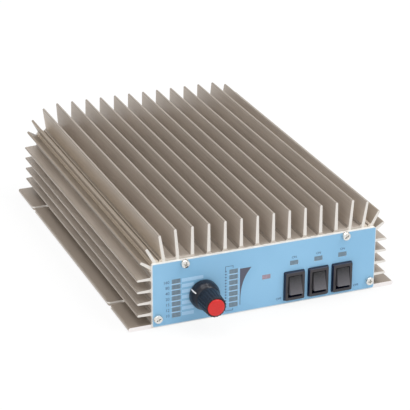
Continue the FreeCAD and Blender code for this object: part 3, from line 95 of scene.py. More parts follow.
def islands(node):
    """The lowest and highest corner of each separate solid in a node, from left to right."""
    mesh = bmesh.new()
    mesh.from_mesh(frame["nodes"][node].data)
    bmesh.ops.remove_doubles(mesh, verts=mesh.verts, dist=1e-7)
    waiting = set(mesh.verts)
    found = []
    while waiting:
        group = {waiting.pop()}
        frontier = list(group)
        while frontier:
            vert = frontier.pop()
            for edge in vert.link_edges:
                other = edge.other_vert(vert)
                if other in waiting:
                    waiting.discard(other)
                    group.add(other)
                    frontier.append(other)
        corners = [[vert.co[axis] for vert in group] for axis in range(3)]
        found.append((Vector(map(min, corners)), Vector(map(max, corners))))
    mesh.free()
    return sorted(found, key=lambda corners: [round(corners[0][axis], 5) for axis in (0, 2, 1)])


def solid_of(node):
    """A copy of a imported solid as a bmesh, its flat faces joined up."""
    mesh = bmesh.new()
    mesh.from_mesh(frame["nodes"][node].data)
    bmesh.ops.remove_doubles(mesh, verts=mesh.verts, dist=1e-6)
    bmesh.ops.dissolve_limit(mesh, angle_limit=math.radians(0.5), verts=mesh.verts, edges=mesh.edges)
    return mesh


panel_face = ends("front_panel")[0].y
rear_face = ends("rear_panel")[1].y
selector = next(Vector(joint["pos_m"]) for joint in frame["joints"] if joint["child"] == KNOB)


# ---- finishes ----

def srgb(red, green, blue):
    """A colour as it looks, 0 to 255, as the linear colour a shader takes."""
    def linear(level):
        level /= 255
        return level / 12.92 if level <= 0.04045 else ((level + 0.055) / 1.055) ** 2.4
    return (linear(red), linear(green), linear(blue), 1.0)


def shaded(colour, factor, lift=0.0):
    """A colour made darker or lighter, channel by channel."""
    return [min(channel * factor + lift, 1.0) for channel in colour[:3]] + [1.0]


class Wire:
    """A socket of a finish that can be used in sums and comparisons."""

    def __init__(self, finish, socket):
        self.finish = finish
        self.socket = socket

    def __add__(self, other):
        return self.finish.math("ADD", self, other)

    def __radd__(self, other):
        return self.finish.math("ADD", other, self)

    def __sub__(self, other):
        return self.finish.math("SUBTRACT", self, other)

    def __rsub__(self, other):
        return self.finish.math("SUBTRACT", other, self)

    def __mul__(self, other):
        return self.finish.math("MULTIPLY", self, other)

    def __truediv__(self, other):
        return self.finish.math("DIVIDE", self, other)

    def __gt__(self, other):
        return self.finish.math("GREATER_THAN", self, other)

    def __lt__(self, other):
        return self.finish.math("LESS_THAN", self, other)

    def __abs__(self):
        return self.finish.math("ABSOLUTE", self)


class Finish:
    """A material built from wires. What is the same all over is set on the shader itself."""

    # The sockets of a mix node that carry colours
    MIX_FACTOR = 0
    MIX_FIRST = 6
    MIX_SECOND = 7
    MIX_RESULT = 2

    def __init__(self, name, colour, roughness=0.5, metallic=0.0, **fixed):
        self.material = bpy.data.materials.new(name)
        self.material.use_nodes = True
        self.tree = self.material.node_tree
        self.shader = self.tree.nodes["Principled BSDF"]
        self.place = self.node("TexCoord", out="Object")
        self.facing = self.node("TexCoord", out="Normal")
        self.set("Base Color", colour)
        self.set("Roughness", roughness)
        self.set("Metallic", metallic)
        for socket, value in fixed.items():
            self.set(socket.replace("_", " "), value)

    def node(self, kind, settings=None, inputs=None, out=0):
        """Any node: its settings first, then the values or wires of its sockets."""
        made = self.tree.nodes.new("ShaderNode" + kind)
        for name, value in (settings or {}).items():
            setattr(made, name, value)
        for name, value in (inputs or {}).items():
            self.feed(made.inputs[name], value)
        return Wire(self, made.outputs[out])

    def feed(self, socket, value):
        if isinstance(value, Wire):
            self.tree.links.new(value.socket, socket)
        else:
            socket.default_value = value

    def set(self, socket, value):
        self.feed(self.shader.inputs[socket], value)

    def math(self, operation, *values):
        return self.node("Math", {"operation": operation}, dict(enumerate(values)))

    def clamped(self, value):
        return self.node("Clamp", None, {"Value": value})

    def axes(self, vector=None):
        """The three numbers of a vector, the place on the object unless another is given."""
        split = self.tree.nodes.new("ShaderNodeSeparateXYZ")
        self.feed(split.inputs[0], vector or self.place)
        return [Wire(self, socket) for socket in split.outputs]

    def stretched(self, x, y, z):
        """The place on the object, scaled along each axis, for patterns that run one way."""
        return self.node("VectorMath", {"operation": "MULTIPLY"}, {0: self.place, 1: (x, y, z)})

    def millimetres(self):
        """The three numbers of the place on the object, in millimetres."""
        return self.axes(self.stretched(1 / MM, 1 / MM, 1 / MM))

    def noise(self, scale, detail, vector=None):
        """Soft patches from 0 to 1, over the object unless another vector is given."""
        inputs = {"Vector": vector or self.place, "Scale": scale, "Detail": detail}
        return self.node("TexNoise", {"noise_dimensions": "3D"}, inputs, "Fac")

    def mix(self, factor, first, second):
        """From the first colour at 0 to the second at 1."""
        made = self.tree.nodes.new("ShaderNodeMix")
        made.data_type = "RGBA"
        self.feed(made.inputs[self.MIX_FACTOR], factor)
        self.feed(made.inputs[self.MIX_FIRST], first)
        self.feed(made.inputs[self.MIX_SECOND], second)
        return Wire(self, made.outputs[self.MIX_RESULT])

    def remap(self, value, low, high, new_low, new_high):
        """Carries a range of values over to another, and holds what lies outside at its ends."""
        names = ("Value", "From Min", "From Max", "To Min", "To Max")
        return self.node("MapRange", None, dict(zip(names, (value, low, high, new_low, new_high))))

    def bump(self, height, strength, distance):
        """Raises the surface by the distance given, in metres, where height is 1."""
        inputs = {"Height": height, "Strength": strength, "Distance": distance}
        self.set("Normal", self.node("Bump", None, inputs))
        return self


def leaning_fins(x, z, outward, facing_z):
    """Masks of the fins that lean outwards: the cores of all of them, and the tips, the inner faces
    and the outer faces of the steep ones at the corners."""
    core_half = 0.85
    fin_half = 1.15
    tip_deep = 1
    inner_start = 1.2
    outer_start = 0.5
    steep = 20
    cores = tips = inner_faces = outer_faces = 0
    for root_x, root_z, lean, reach in LEANING_FINS:
        lean_sine = math.sin(math.radians(lean))
        lean_cosine = math.cos(math.radians(lean))
        from_x = abs(x) - root_x
        from_z = z - root_z
        off_line = abs(from_x * lean_cosine - from_z * lean_sine)
        cores = (off_line < core_half) + cores
        if lean > steep:
            along = from_x * lean_sine + from_z * lean_cosine
            facing_tip = outward * lean_sine + facing_z * lean_cosine
            in_fin = off_line < fin_half
            sides = in_fin * (facing_tip < 0.3)
            tips = in_fin * (along > reach - tip_deep) * (facing_tip > 0.4) + tips
            inner_faces = sides * (along > inner_start) * (outward < 0) + inner_faces
            outer_faces = sides * (along > outer_start) * (outward > 0) + outer_faces
    return cores, tips, inner_faces, outer_faces


def sawn_ends(finish, x, y, z, facing_y, leaning_cores):
    """The ends that the saw cut, given back some of the anodised tone as painted shade at the feet of the upright
    fins and around the leaning ones.
    """
    end_start = 100
    feet_low = ROOF_TOP - 0.5
    feet_high = ROOF_TOP + 1.3
    gap_middle_half = 1.05
    whole_pitches = 50
    corner_low = 37
    dulled = 0.85
    from_fin = abs(finish.math("FRACT", x / FIN_PITCH + whole_pitches) - 0.5)
    near_fin = from_fin < 0.5 - gap_middle_half / FIN_PITCH
    feet = (z > feet_low) * (z < feet_high) * near_fin * (abs(x) < UPRIGHT_FINS_END)
    around_cores = (abs(x) > UPRIGHT_FINS_END) * (z > corner_low) * (1 - finish.clamped(leaning_cores))
    # Painted shade: the bare ends are partly toned as anodised there
    painted_shade_share = finish.clamped(feet + around_cores) * dulled
    return (abs(facing_y) > 0.7) * (abs(y) > end_start) * (1 - painted_shade_share)


def slot_highlight_lines(x, y, z, facing_z):
    """A thin bare line near the top of the wall of each mounting slot, a painted highlight along the wall's upper
    edge.
    """
    slot_start = 75.5
    slot_middle = 76
    line_half_long = 4.5
    line_middle = 2.05
    line_half_high = 0.55
    beside_slot = abs(abs(y) - slot_middle) < line_half_long
    in_line = abs(z - line_middle) < line_half_high
    return (abs(x) > slot_start) * (abs(facing_z) < 0.5) * beside_slot * in_line


def lit_corners(finish, x, z, facing_z):
    """The valleys between the leaning fins, painted lighter than the rest as painted light, but less so along
    their floor.
    """
    valley_low = 37.5
    valley_full = 46
    valley_high = 56
    corner_start = 62
    corner_full = 66
    floor_high = 44
    floor_end = 69
    valley = finish.remap(z, valley_high, valley_full, 0, 1) * (z > valley_low)
    floor = (z < floor_high) * (abs(x) < floor_end) * (facing_z > 0.9)
    return finish.remap(abs(x), corner_start, corner_full, 0, 0.58) * valley * (1 - floor * 0.7)


def anodised():
    """Bronze-grey anodised extrusion: drawn lines and fine ribs along it, sawn faces bare, with painted light and
    painted shade laid over its fins and flange, and thin bare lines in the slots as painted highlights.
    """
    finish = Finish("bronze_anodising", srgb(172, 161, 150), 0.42, 0.15)
    x, y, z = finish.millimetres()
    facing_x, facing_y, facing_z = finish.axes(finish.facing)
    drawn = finish.noise(1.0, 3.0, finish.stretched(1500, 12, 1500))
    cloud = finish.noise(22.0, 2.0)
    grain = finish.noise(4200.0, 2.0)
    outward = facing_x * finish.math("SIGN", x)
    cores, tips, inner_faces, outer_faces = leaning_fins(x, z, outward, facing_z)
    sawn = sawn_ends(finish, x, y, z, facing_y, cores)
    # Bare on the sawn ends and on the painted highlight lines in the slots
    bare = finish.clamped(sawn + slot_highlight_lines(x, y, z, facing_z))

    fade_end = 60.4
    flat_tips_start = 55
    flange_high = 5
    flange_start = 72
    # Painted light low in the gaps between the fins, lightest at the roof and gone by the fade's end, against the
    # shade that falls there
    painted_light_near_roof = finish.clamped(finish.remap(z, ROOF_TOP, fade_end, 0.35, 0)) * (z > ROOF_TOP)
    flange_top = (facing_z > 0.7) * (z < flange_high)
    # Masks for painted shade on the bevels and flat tops of the fin tips, against their highlights
    bevels = (abs(abs(facing_z) - abs(facing_x)) < 0.45) * (abs(facing_y) < 0.3)
    flat_tips = (facing_z > 0.95) * (z > flat_tips_start)
    dark = finish.mix(finish.remap(cloud, 0.35, 0.65, 0, 1), srgb(171, 160, 149), srgb(182, 171, 160))
    bronze = finish.mix(finish.remap(drawn, 0.35, 0.65, 0, 0.5), dark, srgb(193, 183, 172))
    # Painted light and painted shade laid over the bronze, each a mask and a tone
    painted_light_layers = (
        (painted_light_near_roof, srgb(208, 198, 188)),
        # Painted light in the valleys between the leaning fins
        (lit_corners(finish, x, z, facing_z), srgb(232, 217, 196)),
        # Painted light on the inner faces of the steep corner fins
        (finish.clamped(inner_faces), srgb(255, 240, 222)),
        # Painted light on the outer faces of the steep corner fins
        (finish.clamped(outer_faces) * 0.9, srgb(240, 221, 196)),
        # Painted shade on the tips of the steep corner fins
        (finish.clamped(tips), srgb(156, 141, 123)),
        # Painted shade on the top of the flange
        (flange_top, srgb(156, 144, 132)),
        # Painted shade on the bevels and flat tops of the fin tips
        (finish.clamped(bevels * 0.8 + flat_tips * 0.5), srgb(132, 122, 112)),
    )
    for mask, tone in painted_light_layers:
        bronze = finish.mix(mask, bronze, tone)
    # Painted light: the sawn ends of the flange whiter than the other sawn ends
    lit_flange_end = sawn * (z < flange_high) * (abs(x) > flange_start)
    cut = finish.mix(lit_flange_end, srgb(230, 226, 220), srgb(246, 241, 240))
    finish.set("Base Color", finish.mix(bare, bronze, cut))
    finish.set("Roughness", finish.remap(grain, 0.3, 0.7, 0.36, 0.5))
    finish.set("Metallic", 0.15 + bare * 0.6)

    rib_pitch = 0.9
    side_on = abs(facing_x) > 0.6
    across = z * side_on + x * (1 - side_on)
    ribs = finish.math("SINE", across * (FULL_TURN / rib_pitch))
    saw_marks = finish.noise(1.0, 2.0, finish.stretched(90, 0, 2600))
    height = (ribs * 0.5 + drawn * 0.6) * (1 - bare) + saw_marks * bare + grain * 0.15
    return finish.bump(height, 0.35, 0.12 * MM)


def printed_panel():
    """Light blue print over the face of the plate, its edges and cut-outs bare, and a pale rim round the face
    where the print stops short, there as a painted highlight along the plate's edge.
    """
    finish = Finish("blue_print", srgb(150, 196, 230), 0.42, Coat_Weight=0.15, Coat_Roughness=0.3)
    _, facing_y, _ = finish.axes(finish.facing)
    x, _, z = finish.axes()
    half = (ends("front_panel")[1] - ends("front_panel")[0]) / 2
    corner = PLATE_ROUND * MM
    rim_wide = 0.35 * MM
    across = finish.math("MAXIMUM", abs(x) - (half.x - corner), 0)
    upright = finish.math("MAXIMUM", abs(z - centre("front_panel").z) - (half.z - corner), 0)
    from_corner = finish.math("SQRT", across * across + upright * upright)
    # A pale rim where the print stops short, a painted highlight along the plate's edge
    pale_rim_highlight = from_corner > corner - rim_wide
    face = (facing_y < -0.5) * (1 - pale_rim_highlight * 0.6)
    cloud = finish.noise(30.0, 2.0)
    peel = finish.noise(1400.0, 2.0)
    blue = finish.mix(finish.remap(cloud, 0.35, 0.65, 0, 1), srgb(132, 184, 219), srgb(140, 191, 225))
    finish.set("Base Color", finish.mix(face, srgb(244, 243, 240), blue))
    finish.set("Metallic", 0.25 - face * 0.25)
    finish.set("Roughness", finish.remap(peel, 0.3, 0.7, 0.38, 0.48))
    return finish.bump(peel, 0.12, 0.04 * MM)


def bare_sheet():
    """Brushed aluminium sheet, the brush lines along X."""
    finish = Finish("bare_aluminium", srgb(196, 196, 194), 0.35, 0.85)
    brushed = finish.noise(1.0, 3.0, finish.stretched(25, 1800, 1800))
    cloud = finish.noise(18.0, 2.0)
    shade = finish.mix(finish.remap(brushed, 0.3, 0.7, 0, 1), srgb(182, 182, 181), srgb(208, 207, 204))
    finish.set("Base Color", finish.mix(cloud * 0.25, shade, srgb(170, 168, 164)))
    finish.set("Roughness", finish.remap(brushed, 0.3, 0.7, 0.28, 0.45))
    return finish.bump(brushed, 0.2, 0.04 * MM)


def plated(name, colour, roughness=0.22):
    """Turned and plated metal with faint tarnish."""
    finish = Finish(name, colour, roughness, 1.0)
    tarnish = finish.noise(420.0, 4.0)
    dulled = finish.mix(finish.remap(tarnish, 0.3, 0.75, 0, 0.5), colour, shaded(colour, 0.8))
    finish.set("Base Color", dulled)
    finish.set("Roughness", finish.remap(tarnish, 0.3, 0.7, roughness * 0.8, roughness * 1.5))
    return finish.bump(tarnish, 0.08, 0.03 * MM)


def moulded(name, colour, roughness=0.45, grain_size=2600.0, relief=0.15, lift=1.35, **fixed):
    """Moulded plastic with a fine grain and slight wear in its tone."""
    finish = Finish(name, colour, roughness, **fixed)
    grain = finish.noise(grain_size, 3.0)
    cloud = finish.noise(120.0, 2.0)
    toned = finish.mix(finish.remap(cloud, 0.35, 0.65, 0, 1), colour, shaded(colour, lift, 0.002))
    finish.set("Base Color", toned)
    finish.set("Roughness", finish.remap(grain, 0.3, 0.7, roughness * 0.85, roughness * 1.15))
    return finish.bump(grain, relief, 0.05 * MM)


def bezel_moulding():
    """A black moulding, grey on its face, its slopes painted navy as a painted reflection of the blue panel."""
    finish = moulded("bezel_moulding", srgb(56, 53, 58), 0.34)
    _, facing_y, _ = finish.axes(finish.facing)
    cloud = finish.noise(300.0, 2.0)
    face = finish.mix(cloud, srgb(45, 42, 46), srgb(56, 52, 56))
    # Painted reflection: the slopes navy, as if mirroring the blue panel
    finish.set("Base Color", finish.mix(facing_y < -0.9, srgb(7, 18, 46), face))
    return finish


def paddle_painted_lighter_below():
    """A black moulding painted lighter towards its lower end, as painted light, with random scuffs."""
    finish = moulded("paddle_moulding", srgb(66, 66, 70), 0.36)
    _, _, z = finish.axes()
    low, high = ends("left_rocker")
    # Painted light: a ramp from dark at the top to light at the lower end
    painted_light_ramp = finish.clamped(finish.remap(z, high.z, low.z, 0, 1))
    scuffs = finish.noise(900.0, 3.0)
    toned = finish.clamped(painted_light_ramp + (scuffs - 0.5) * 0.25)
    finish.set("Base Color", finish.mix(toned, srgb(13, 14, 18), srgb(99, 97, 102)))
    return finish


def lens(name, colour, deep):
    """A tinted lamp front with the faint ribs of its diffuser."""
    finish = Finish(name, colour, 0.3, Coat_Weight=0.3, Coat_Roughness=0.15)
    x, _, _ = finish.axes()
    rib_pitch = 0.85 * MM
    ribs = finish.math("SINE", x * (FULL_TURN / rib_pitch))
    cloud = finish.noise(700.0, 2.0)
    shade = finish.remap(ribs * 0.6 + cloud, -0.2, 1.2, 0, 1)
    finish.set("Base Color", finish.mix(shade, deep, colour))
    return finish.bump(ribs, 0.2, 0.1 * MM)


def circuit_board():
    """Green solder resist over paler tracks."""
    finish = Finish("solder_resist", srgb(28, 92, 48), 0.35, Coat_Weight=0.2)
    cells = finish.node("TexVoronoi", {"feature": "DISTANCE_TO_EDGE"},
                        {"Vector": finish.place, "Scale": 260.0}, "Distance")
    track = finish.clamped(finish.remap(cells, 0.02, 0.06, 1, 0))
    finish.set("Base Color", finish.mix(track * 0.6, srgb(24, 84, 42), srgb(58, 130, 66)))
    return finish.bump(track, 0.3, 0.04 * MM)


def wound_wire():
    """Enamelled copper turns, darker between them as painted shade."""
    finish = Finish("enamelled_copper", srgb(176, 92, 42), 0.28, 0.9)
    _, y, z = finish.axes()
    turn_pitch = 1.1 * MM
    turns = finish.math("SINE", (y + z) * (FULL_TURN / turn_pitch))
    # Painted shade in the grooves between the turns, their crests lighter
    crests = finish.remap(turns, -1, 1, 0, 1)
    finish.set("Base Color", finish.mix(crests, srgb(120, 56, 24), srgb(196, 112, 56)))
    return finish.bump(turns, 0.6, 0.3 * MM)


def ferrite():
    """Pressed and fired powder, dark and speckled."""
    finish = Finish("ferrite", srgb(52, 52, 56), 0.6)
    speckle = finish.noise(1500.0, 4.0)
    specks = finish.remap(speckle, 0.4, 0.7, 0, 1)
    finish.set("Base Color", finish.mix(specks, srgb(42, 42, 46), srgb(84, 84, 90)))
    return finish.bump(speckle, 0.3, 0.08 * MM)


def ink(name, colour):
    """Screen-printed ink with a little unevenness."""
    finish = Finish(name, colour, 0.5)
    cover = finish.noise(2200.0, 2.0)
    thin = shaded(colour, 1.25, 0.01)
    finish.set("Base Color", finish.mix(finish.remap(cover, 0.45, 0.75, 0, 0.35), colour, thin))
    return finish


FINISHES = {
    "anodised_sink": anodised(),
    "blue_panel": printed_panel(),
    "bare_aluminium": bare_sheet(),
    "plated_screw": plated("bright_zinc", srgb(232, 231, 227)),
    "black_plastic": moulded("black_moulding", srgb(38, 38, 42), 0.42),
    "knob_plastic": moulded("knob_moulding", srgb(20, 21, 31), 0.3, 1800.0, 0.05,
                            Specular_IOR_Level=0.34),
    "red_plastic": moulded("red_moulding", srgb(204, 44, 42), 0.3, 900.0, 0.05, 1.08,
                           Specular_IOR_Level=0.3),
    "white_plastic": moulded("white_moulding", srgb(236, 232, 230), 0.4, 900.0, 0.05, 1.02),
    "brass": plated("brass", srgb(202, 168, 96), 0.3),
    "steel": plated("turned_steel", srgb(170, 170, 168), 0.35),
    "nickel": plated("nickel", srgb(180, 177, 167), 0.2),
    "ptfe": moulded("ptfe", srgb(246, 244, 238), 0.45, 700.0, 0.05, 1.02),
    "board": circuit_board(),
    "ferrite": ferrite(),
    "copper": wound_wire(),
    "lamp_grey": lens("grey_lens", srgb(128, 150, 164), srgb(78, 100, 118)),
    "lamp_red": lens("red_lens", srgb(182, 160, 174), srgb(124, 112, 126)),
    "relay_blue": moulded("relay_moulding", srgb(40, 66, 128), 0.4),
    "capacitor_brown": moulded("dipped_resin", srgb(156, 92, 40), 0.35, 500.0, 0.2),
    "fuse_green": moulded("fuse_moulding", srgb(40, 132, 74), 0.25, 900.0, 0.05),
}
switch_bezel = bezel_moulding()
switch_paddle = paddle_painted_lighter_below()
label_ink = ink("dark_ink", srgb(62, 78, 112))
scale_ink = ink("grey_ink", srgb(84, 84, 100))
line_ink = ink("pale_ink", srgb(168, 207, 238))


def dress_nodes():
    """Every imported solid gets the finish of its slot."""
    slots = {part["node"]: part["material_slot"] for part in frame["record"]["subparts"]}
    for name, node in frame["nodes"].items():
        node.data.materials.clear()
        node.data.materials.append(FINISHES[slots[name]].material)


# ---- making pieces ----

def finished(name, mesh, finish, body=ROOT, replaces=(), smooth=True):
    """Turns a bmesh into a piece that rides on a body of the amplifier. A smooth one keeps its creases."""
    crease = math.radians(32)
    bmesh.ops.remove_doubles(mesh, verts=mesh.verts, dist=1e-6)
    bmesh.ops.recalc_face_normals(mesh, faces=mesh.faces)
    for face in mesh.faces:
        face.smooth = smooth
    data = bpy.data.meshes.new(name)
    mesh.to_mesh(data)
    mesh.free()
    if smooth:
        data.set_sharp_from_angle(angle=crease)
    data.materials.append(finish.material)
    piece = bpy.data.objects.new(name, data)
    bpy.context.scene.collection.objects.link(piece)
    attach(piece, body)
    if replaces:
        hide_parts(*replaces)
    return piece


def turned(mesh, profile, steps):
    """Spins a profile of (radius, height) in millimetres about Z; returns the new vertices."""
    before = set(mesh.verts)
    verts = [mesh.verts.new((radius * MM, 0, height * MM)) for radius, height in profile]
    edges = [mesh.edges.new(pair) for pair in zip(verts, verts[1:])]
    bmesh.ops.spin(mesh, geom=verts + edges, cent=(0, 0, 0), axis=(0, 0, 1), angle=FULL_TURN,
                   steps=steps, use_merge=True)
    fresh = [vert for vert in mesh.verts if vert not in before]
    bmesh.ops.remove_doubles(mesh, verts=fresh, dist=1e-7)
    return [vert for vert in mesh.verts if vert not in before]


def moved(mesh, verts, where, turn=None):
    """Turns new vertices about the origin, then carries them to their place."""
    bmesh.ops.transform(mesh, matrix=Matrix.Translation(where) @ (turn or Matrix()), verts=verts)


def rounded(mesh, edges, width, segments=2):
    """Rounds edges by a width in millimetres."""
    bmesh.ops.bevel(mesh, geom=edges, offset=width * MM, offset_type="OFFSET", segments=segments,
                    profile=0.5, affect="EDGES", clamp_overlap=True, material=-1)


def soft_edged(name, node, width, finish, body=ROOT, slimmed=0.0):
    """Stands for a node with a copy whose edges are rounded by the width given, and which is
    narrower than the node by the share given."""
    mesh = solid_of(node)
    about = Matrix.Translation(-centre(node))
    bmesh.ops.scale(mesh, vec=(1 - slimmed, 1, 1), space=about, verts=mesh.verts)
    crease = math.radians(25)
    sharp = [edge for edge in mesh.edges if edge.is_manifold and edge.calc_face_angle() > crease]
    rounded(mesh, sharp, width)
    return finished(name, mesh, finish, body, [node])


def arc_points(start, end, radius, steps):
    """Points of (radius, height) on an arc that bulges outwards between two points."""
    start = Vector(start)
    end = Vector(end)
    chord = end - start
    inward = Vector((-chord.y, chord.x)).normalized()
    middle = (start + end) / 2 + inward * math.sqrt(radius ** 2 - (chord.length / 2) ** 2)
    first = math.atan2(*reversed(start - middle))
    last = math.atan2(*reversed(end - middle))
    angles = [first + (last - first) * step / steps for step in range(steps + 1)]
    return [(middle.x + radius * math.cos(angle), middle.y + radius * math.sin(angle)) for angle in angles]


# ---- screws ----

def cross_outline(arm, half, angle):
    """The twelve corners of a cross, as (x, y), turned by an angle."""
    corners = []
    for quarter in range(4):
        turn = Matrix.Rotation(quarter * math.pi / 2 + angle, 2)
        corners += [turn @ Vector(corner) for corner in ((arm, -half), (arm, half), (half, half))]
    return corners


def cross_screw(mesh, profile, depth, where, turn, angle):
    """A screw whose profile ends on the rim of a cross recess of the depth given."""
    rim, high = profile[-1]
    shell = turned(mesh, profile, 32)
    inside_shell = set(shell)
    top = [edge for edge in mesh.edges
           if edge.is_boundary and all(vert in inside_shell for vert in edge.verts)]
    arm = rim * 0.84
    half = rim * 0.22
    cross = [mesh.verts.new((x * MM, y * MM, high * MM)) for x, y in cross_outline(arm, half, angle)]
    loop = [mesh.edges.new(pair) for pair in zip(cross, cross[1:] + cross[:1])]
    bmesh.ops.triangle_fill(mesh, use_beauty=True, edges=top + loop)
    within = set(cross)
    filled = [face for face in mesh.faces if all(vert in within for vert in face.verts)]
    if filled:
        bmesh.ops.delete(mesh, geom=filled, context="FACES_ONLY")
    floor = mesh.faces.new(cross)
    sunk = bmesh.ops.extrude_discrete_faces(mesh, faces=[floor])["faces"][0]
    floor_share = 0.55
    bmesh.ops.translate(mesh, vec=(0, 0, -depth * MM), verts=sunk.verts)
    bmesh.ops.scale(mesh, vec=(floor_share, floor_share, 1), verts=sunk.verts)
    bmesh.ops.bridge_loops(mesh, edges=loop + list(sunk.edges))
    fresh = shell + cross + list(sunk.verts)
    moved(mesh, [vert for vert in fresh if vert.is_valid], where, turn)


def shank_profile(long):
    """The end of a screw's shank, chamfered; profiles are (radius, height) in millimetres."""
    return [(0, -long), (SHANK_RADIUS - 0.4, -long), (SHANK_RADIUS, -long + 0.5)]


def pan_profile(long):
    """A pan-headed screw whose head rests at height 0."""
    high = 2.1
    crown = ((1, 0.35), (0.965, 0.62), (0.86, 0.86), (0.62, 1))
    return shank_profile(long) + [(SHANK_RADIUS, 0), (HEAD_RADIUS, 0)] + [
        (HEAD_RADIUS * wide_share, high * high_share) for wide_share, high_share in crown]


def sunk_profile(long):
    """A countersunk screw whose head ends at height 0."""
    high = 1.6
    return shank_profile(long) + [(SHANK_RADIUS, -high), (HEAD_RADIUS - 0.1, -0.1),
                                  (HEAD_RADIUS - 0.2, 0), (HEAD_RADIUS * 0.66, 0)]


def screw_set(name, node, turn, axis, face, profile, depth):
    """Stands for a node of screws. face is the place, along the axis, that the heads rest on."""
    first_angle = 0.4
    next_angle = 0.9
    mesh = bmesh.new()
    for index, (low, high) in enumerate(islands(node)):
        where = (low + high) / 2
        where[axis] = face
        cross_screw(mesh, profile, depth, where, turn, first_angle + index * next_angle)
    return finished(name, mesh, FINISHES["plated_screw"], replaces=[node])


def screws():
    """The screws of both panels, of the coaxial sockets and of the bottom cover."""
    flange_face = rear_face + SOCKET_FLANGE * MM
    deep = 1.15
    shallow = 1.0
    long = pan_profile(12.0)
    short = pan_profile(8.0)
    screw_set("front_cross_screws", "front_panel_screws", FACING_FRONT, Y_AXIS, panel_face, long, deep)
    screw_set("rear_cross_screws", "rear_panel_screws", FACING_REAR, Y_AXIS, rear_face, long, deep)
    screw_set("socket_cross_screws", "socket_screws", FACING_REAR, Y_AXIS, flange_face, short, deep)
    screw_set("cover_cross_screws", "bottom_cover_screws", FACING_DOWN, Z_AXIS, 0.0, sunk_profile(8.0),
              shallow)


# ---- band knob ----

def along_selector(y):
    """How far in front of the panel, in millimetres, a place along Y is."""
    return (panel_face - y) / MM


def on_selector(mesh, verts):
    """Carries what was turned about Z to the selector's shaft, facing the front."""
    moved(mesh, verts, (selector.x, panel_face, selector.z), FACING_FRONT)


def flute(verts, count, start, inner_radius):
    """Presses grooves into a grip, from the height where they start."""
    deep = 0.3
    run_in = 1.3
    for vert in verts:
        radius = math.hypot(vert.co.x, vert.co.y) / MM
        height = vert.co.z / MM
        if height < start or radius < inner_radius:
            continue
        angle = math.atan2(vert.co.y, vert.co.x)
        grown = min((height - start) / run_in, 1)
        groove = deep * grown * (0.5 + 0.5 * math.cos(angle * count)) ** 2
        vert.co.xy *= (radius - groove) / radius


def knob():
    """Skirt with a rounded shoulder and a tapered grip with twenty flutes."""
    low, high = ends("selector_knob")
    skirt = (high.x - low.x) / 2 / MM
    back = along_selector(high.y)
    top = along_selector(low.y)
    hollow_top = back + 5.9
    skirt_bevel = 0.25
    dome_start = back + 2
    dome_radius = 7
    shoulder = 7.1
    shoulder_high = back + 7.2
    grip_start = shoulder_high + 1.2
    grip = 6.45
    grip_bevel = 0.35
    cap_hole = 5.3
    cap_bevel = 0.12
    cap_seat = top - 1.8
    profile = [(0, hollow_top), (shoulder, hollow_top), (shoulder, back), (skirt - skirt_bevel, back),
               (skirt, back + skirt_bevel)]
    dome = arc_points((skirt, dome_start), (shoulder, shoulder_high), dome_radius, 12)
    # The last points of the dome swing out and up into the grip
    swing = ((0.1, 0), (0.16, 0.1), (0.22, 0.35), (0.08, 0.5))
    profile += dome[:-len(swing)]
    profile += [(radius + out, height + up)
                for (radius, height), (out, up) in zip(dome[-len(swing):], swing)]
    rings = 14
    for ring in range(rings + 1):
        share = ring / rings
        profile.append((shoulder - (shoulder - grip) * share,
                        grip_start + (top - grip_bevel - grip_start) * share))
    profile += [(grip - grip_bevel, top), (cap_hole + cap_bevel, top), (cap_hole, top - cap_bevel),
                (cap_hole, cap_seat), (0, cap_seat)]
    flutes = 20
    steps_per_flute = 10
    inside_grip = grip - grip_bevel - 0.1
    mesh = bmesh.new()
    verts = turned(mesh, profile, flutes * steps_per_flute)
    flute(verts, flutes, grip_start, inside_grip)
    on_selector(mesh, verts)
    return finished("fluted_knob", mesh, FINISHES["knob_plastic"], KNOB, ["selector_knob"])


def red_cap():
    """A shallow dome with a soft edge, pressed into the grip."""
    low, high = ends("knob_cap")
    radius = (high.x - low.x) / 2 / MM
    seat = along_selector(high.y)
    dome_high = 0.5
    edge = along_selector(low.y) - dome_high
    edge_wide = 0.45
    edge_radius = 0.5
    dome_radius = radius - edge_wide
    dome_steps = 10
    profile = [(0, seat), (radius, seat)]
    profile += arc_points((radius, edge - edge_wide), (dome_radius, edge), edge_radius, 5)
    for step in range(1, dome_steps + 1):
        angle = math.pi / 2 * step / dome_steps
        profile.append((dome_radius * math.cos(angle), edge + dome_high * math.sin(angle)))
    mesh = bmesh.new()
    on_selector(mesh, turned(mesh, profile, 64))
    return finished("domed_cap", mesh, FINISHES["red_plastic"], KNOB, ["knob_cap"])


# ---- control panel ----

def control_plate():
    """The front panel with smaller corners than its solid has."""
    middle = centre("front_panel")
    half = ends("front_panel")[1] - middle
    solid_round = PACKED_ROUND * MM
    corner = PLATE_ROUND * MM
    near = 1e-6
    mesh = solid_of("front_panel")
    for vert in mesh.verts:
        off = vert.co - middle
        into_x = abs(off.x) - (half.x - solid_round)
        into_z = abs(off.z) - (half.z - solid_round)
        if into_x < -near or into_z < -near:
            continue
        angle = math.atan2(into_z, into_x)
        off.x = math.copysign(half.x - corner * (1 - math.cos(angle)), off.x)
        off.z = math.copysign(half.z - corner * (1 - math.sin(angle)), off.z)
        vert.co = middle + off
    return finished("control_plate", mesh, FINISHES["blue_panel"],
                    replaces=["front_panel"], smooth=False)


# ---- rocker switches ----

def rocker_switches():
    """A bezel and a slimmer paddle for each of the three switches."""
    paddle_slimmed = 0.06
    for side in ("left", "middle", "right"):
        soft_edged(side + "_bezel", side + "_switch_housing", 0.22, switch_bezel)
        soft_edged(side + "_paddle", side + "_rocker", 0.2, switch_paddle,
                   side + "_rocker_body", paddle_slimmed)


# ---- rear sockets ----

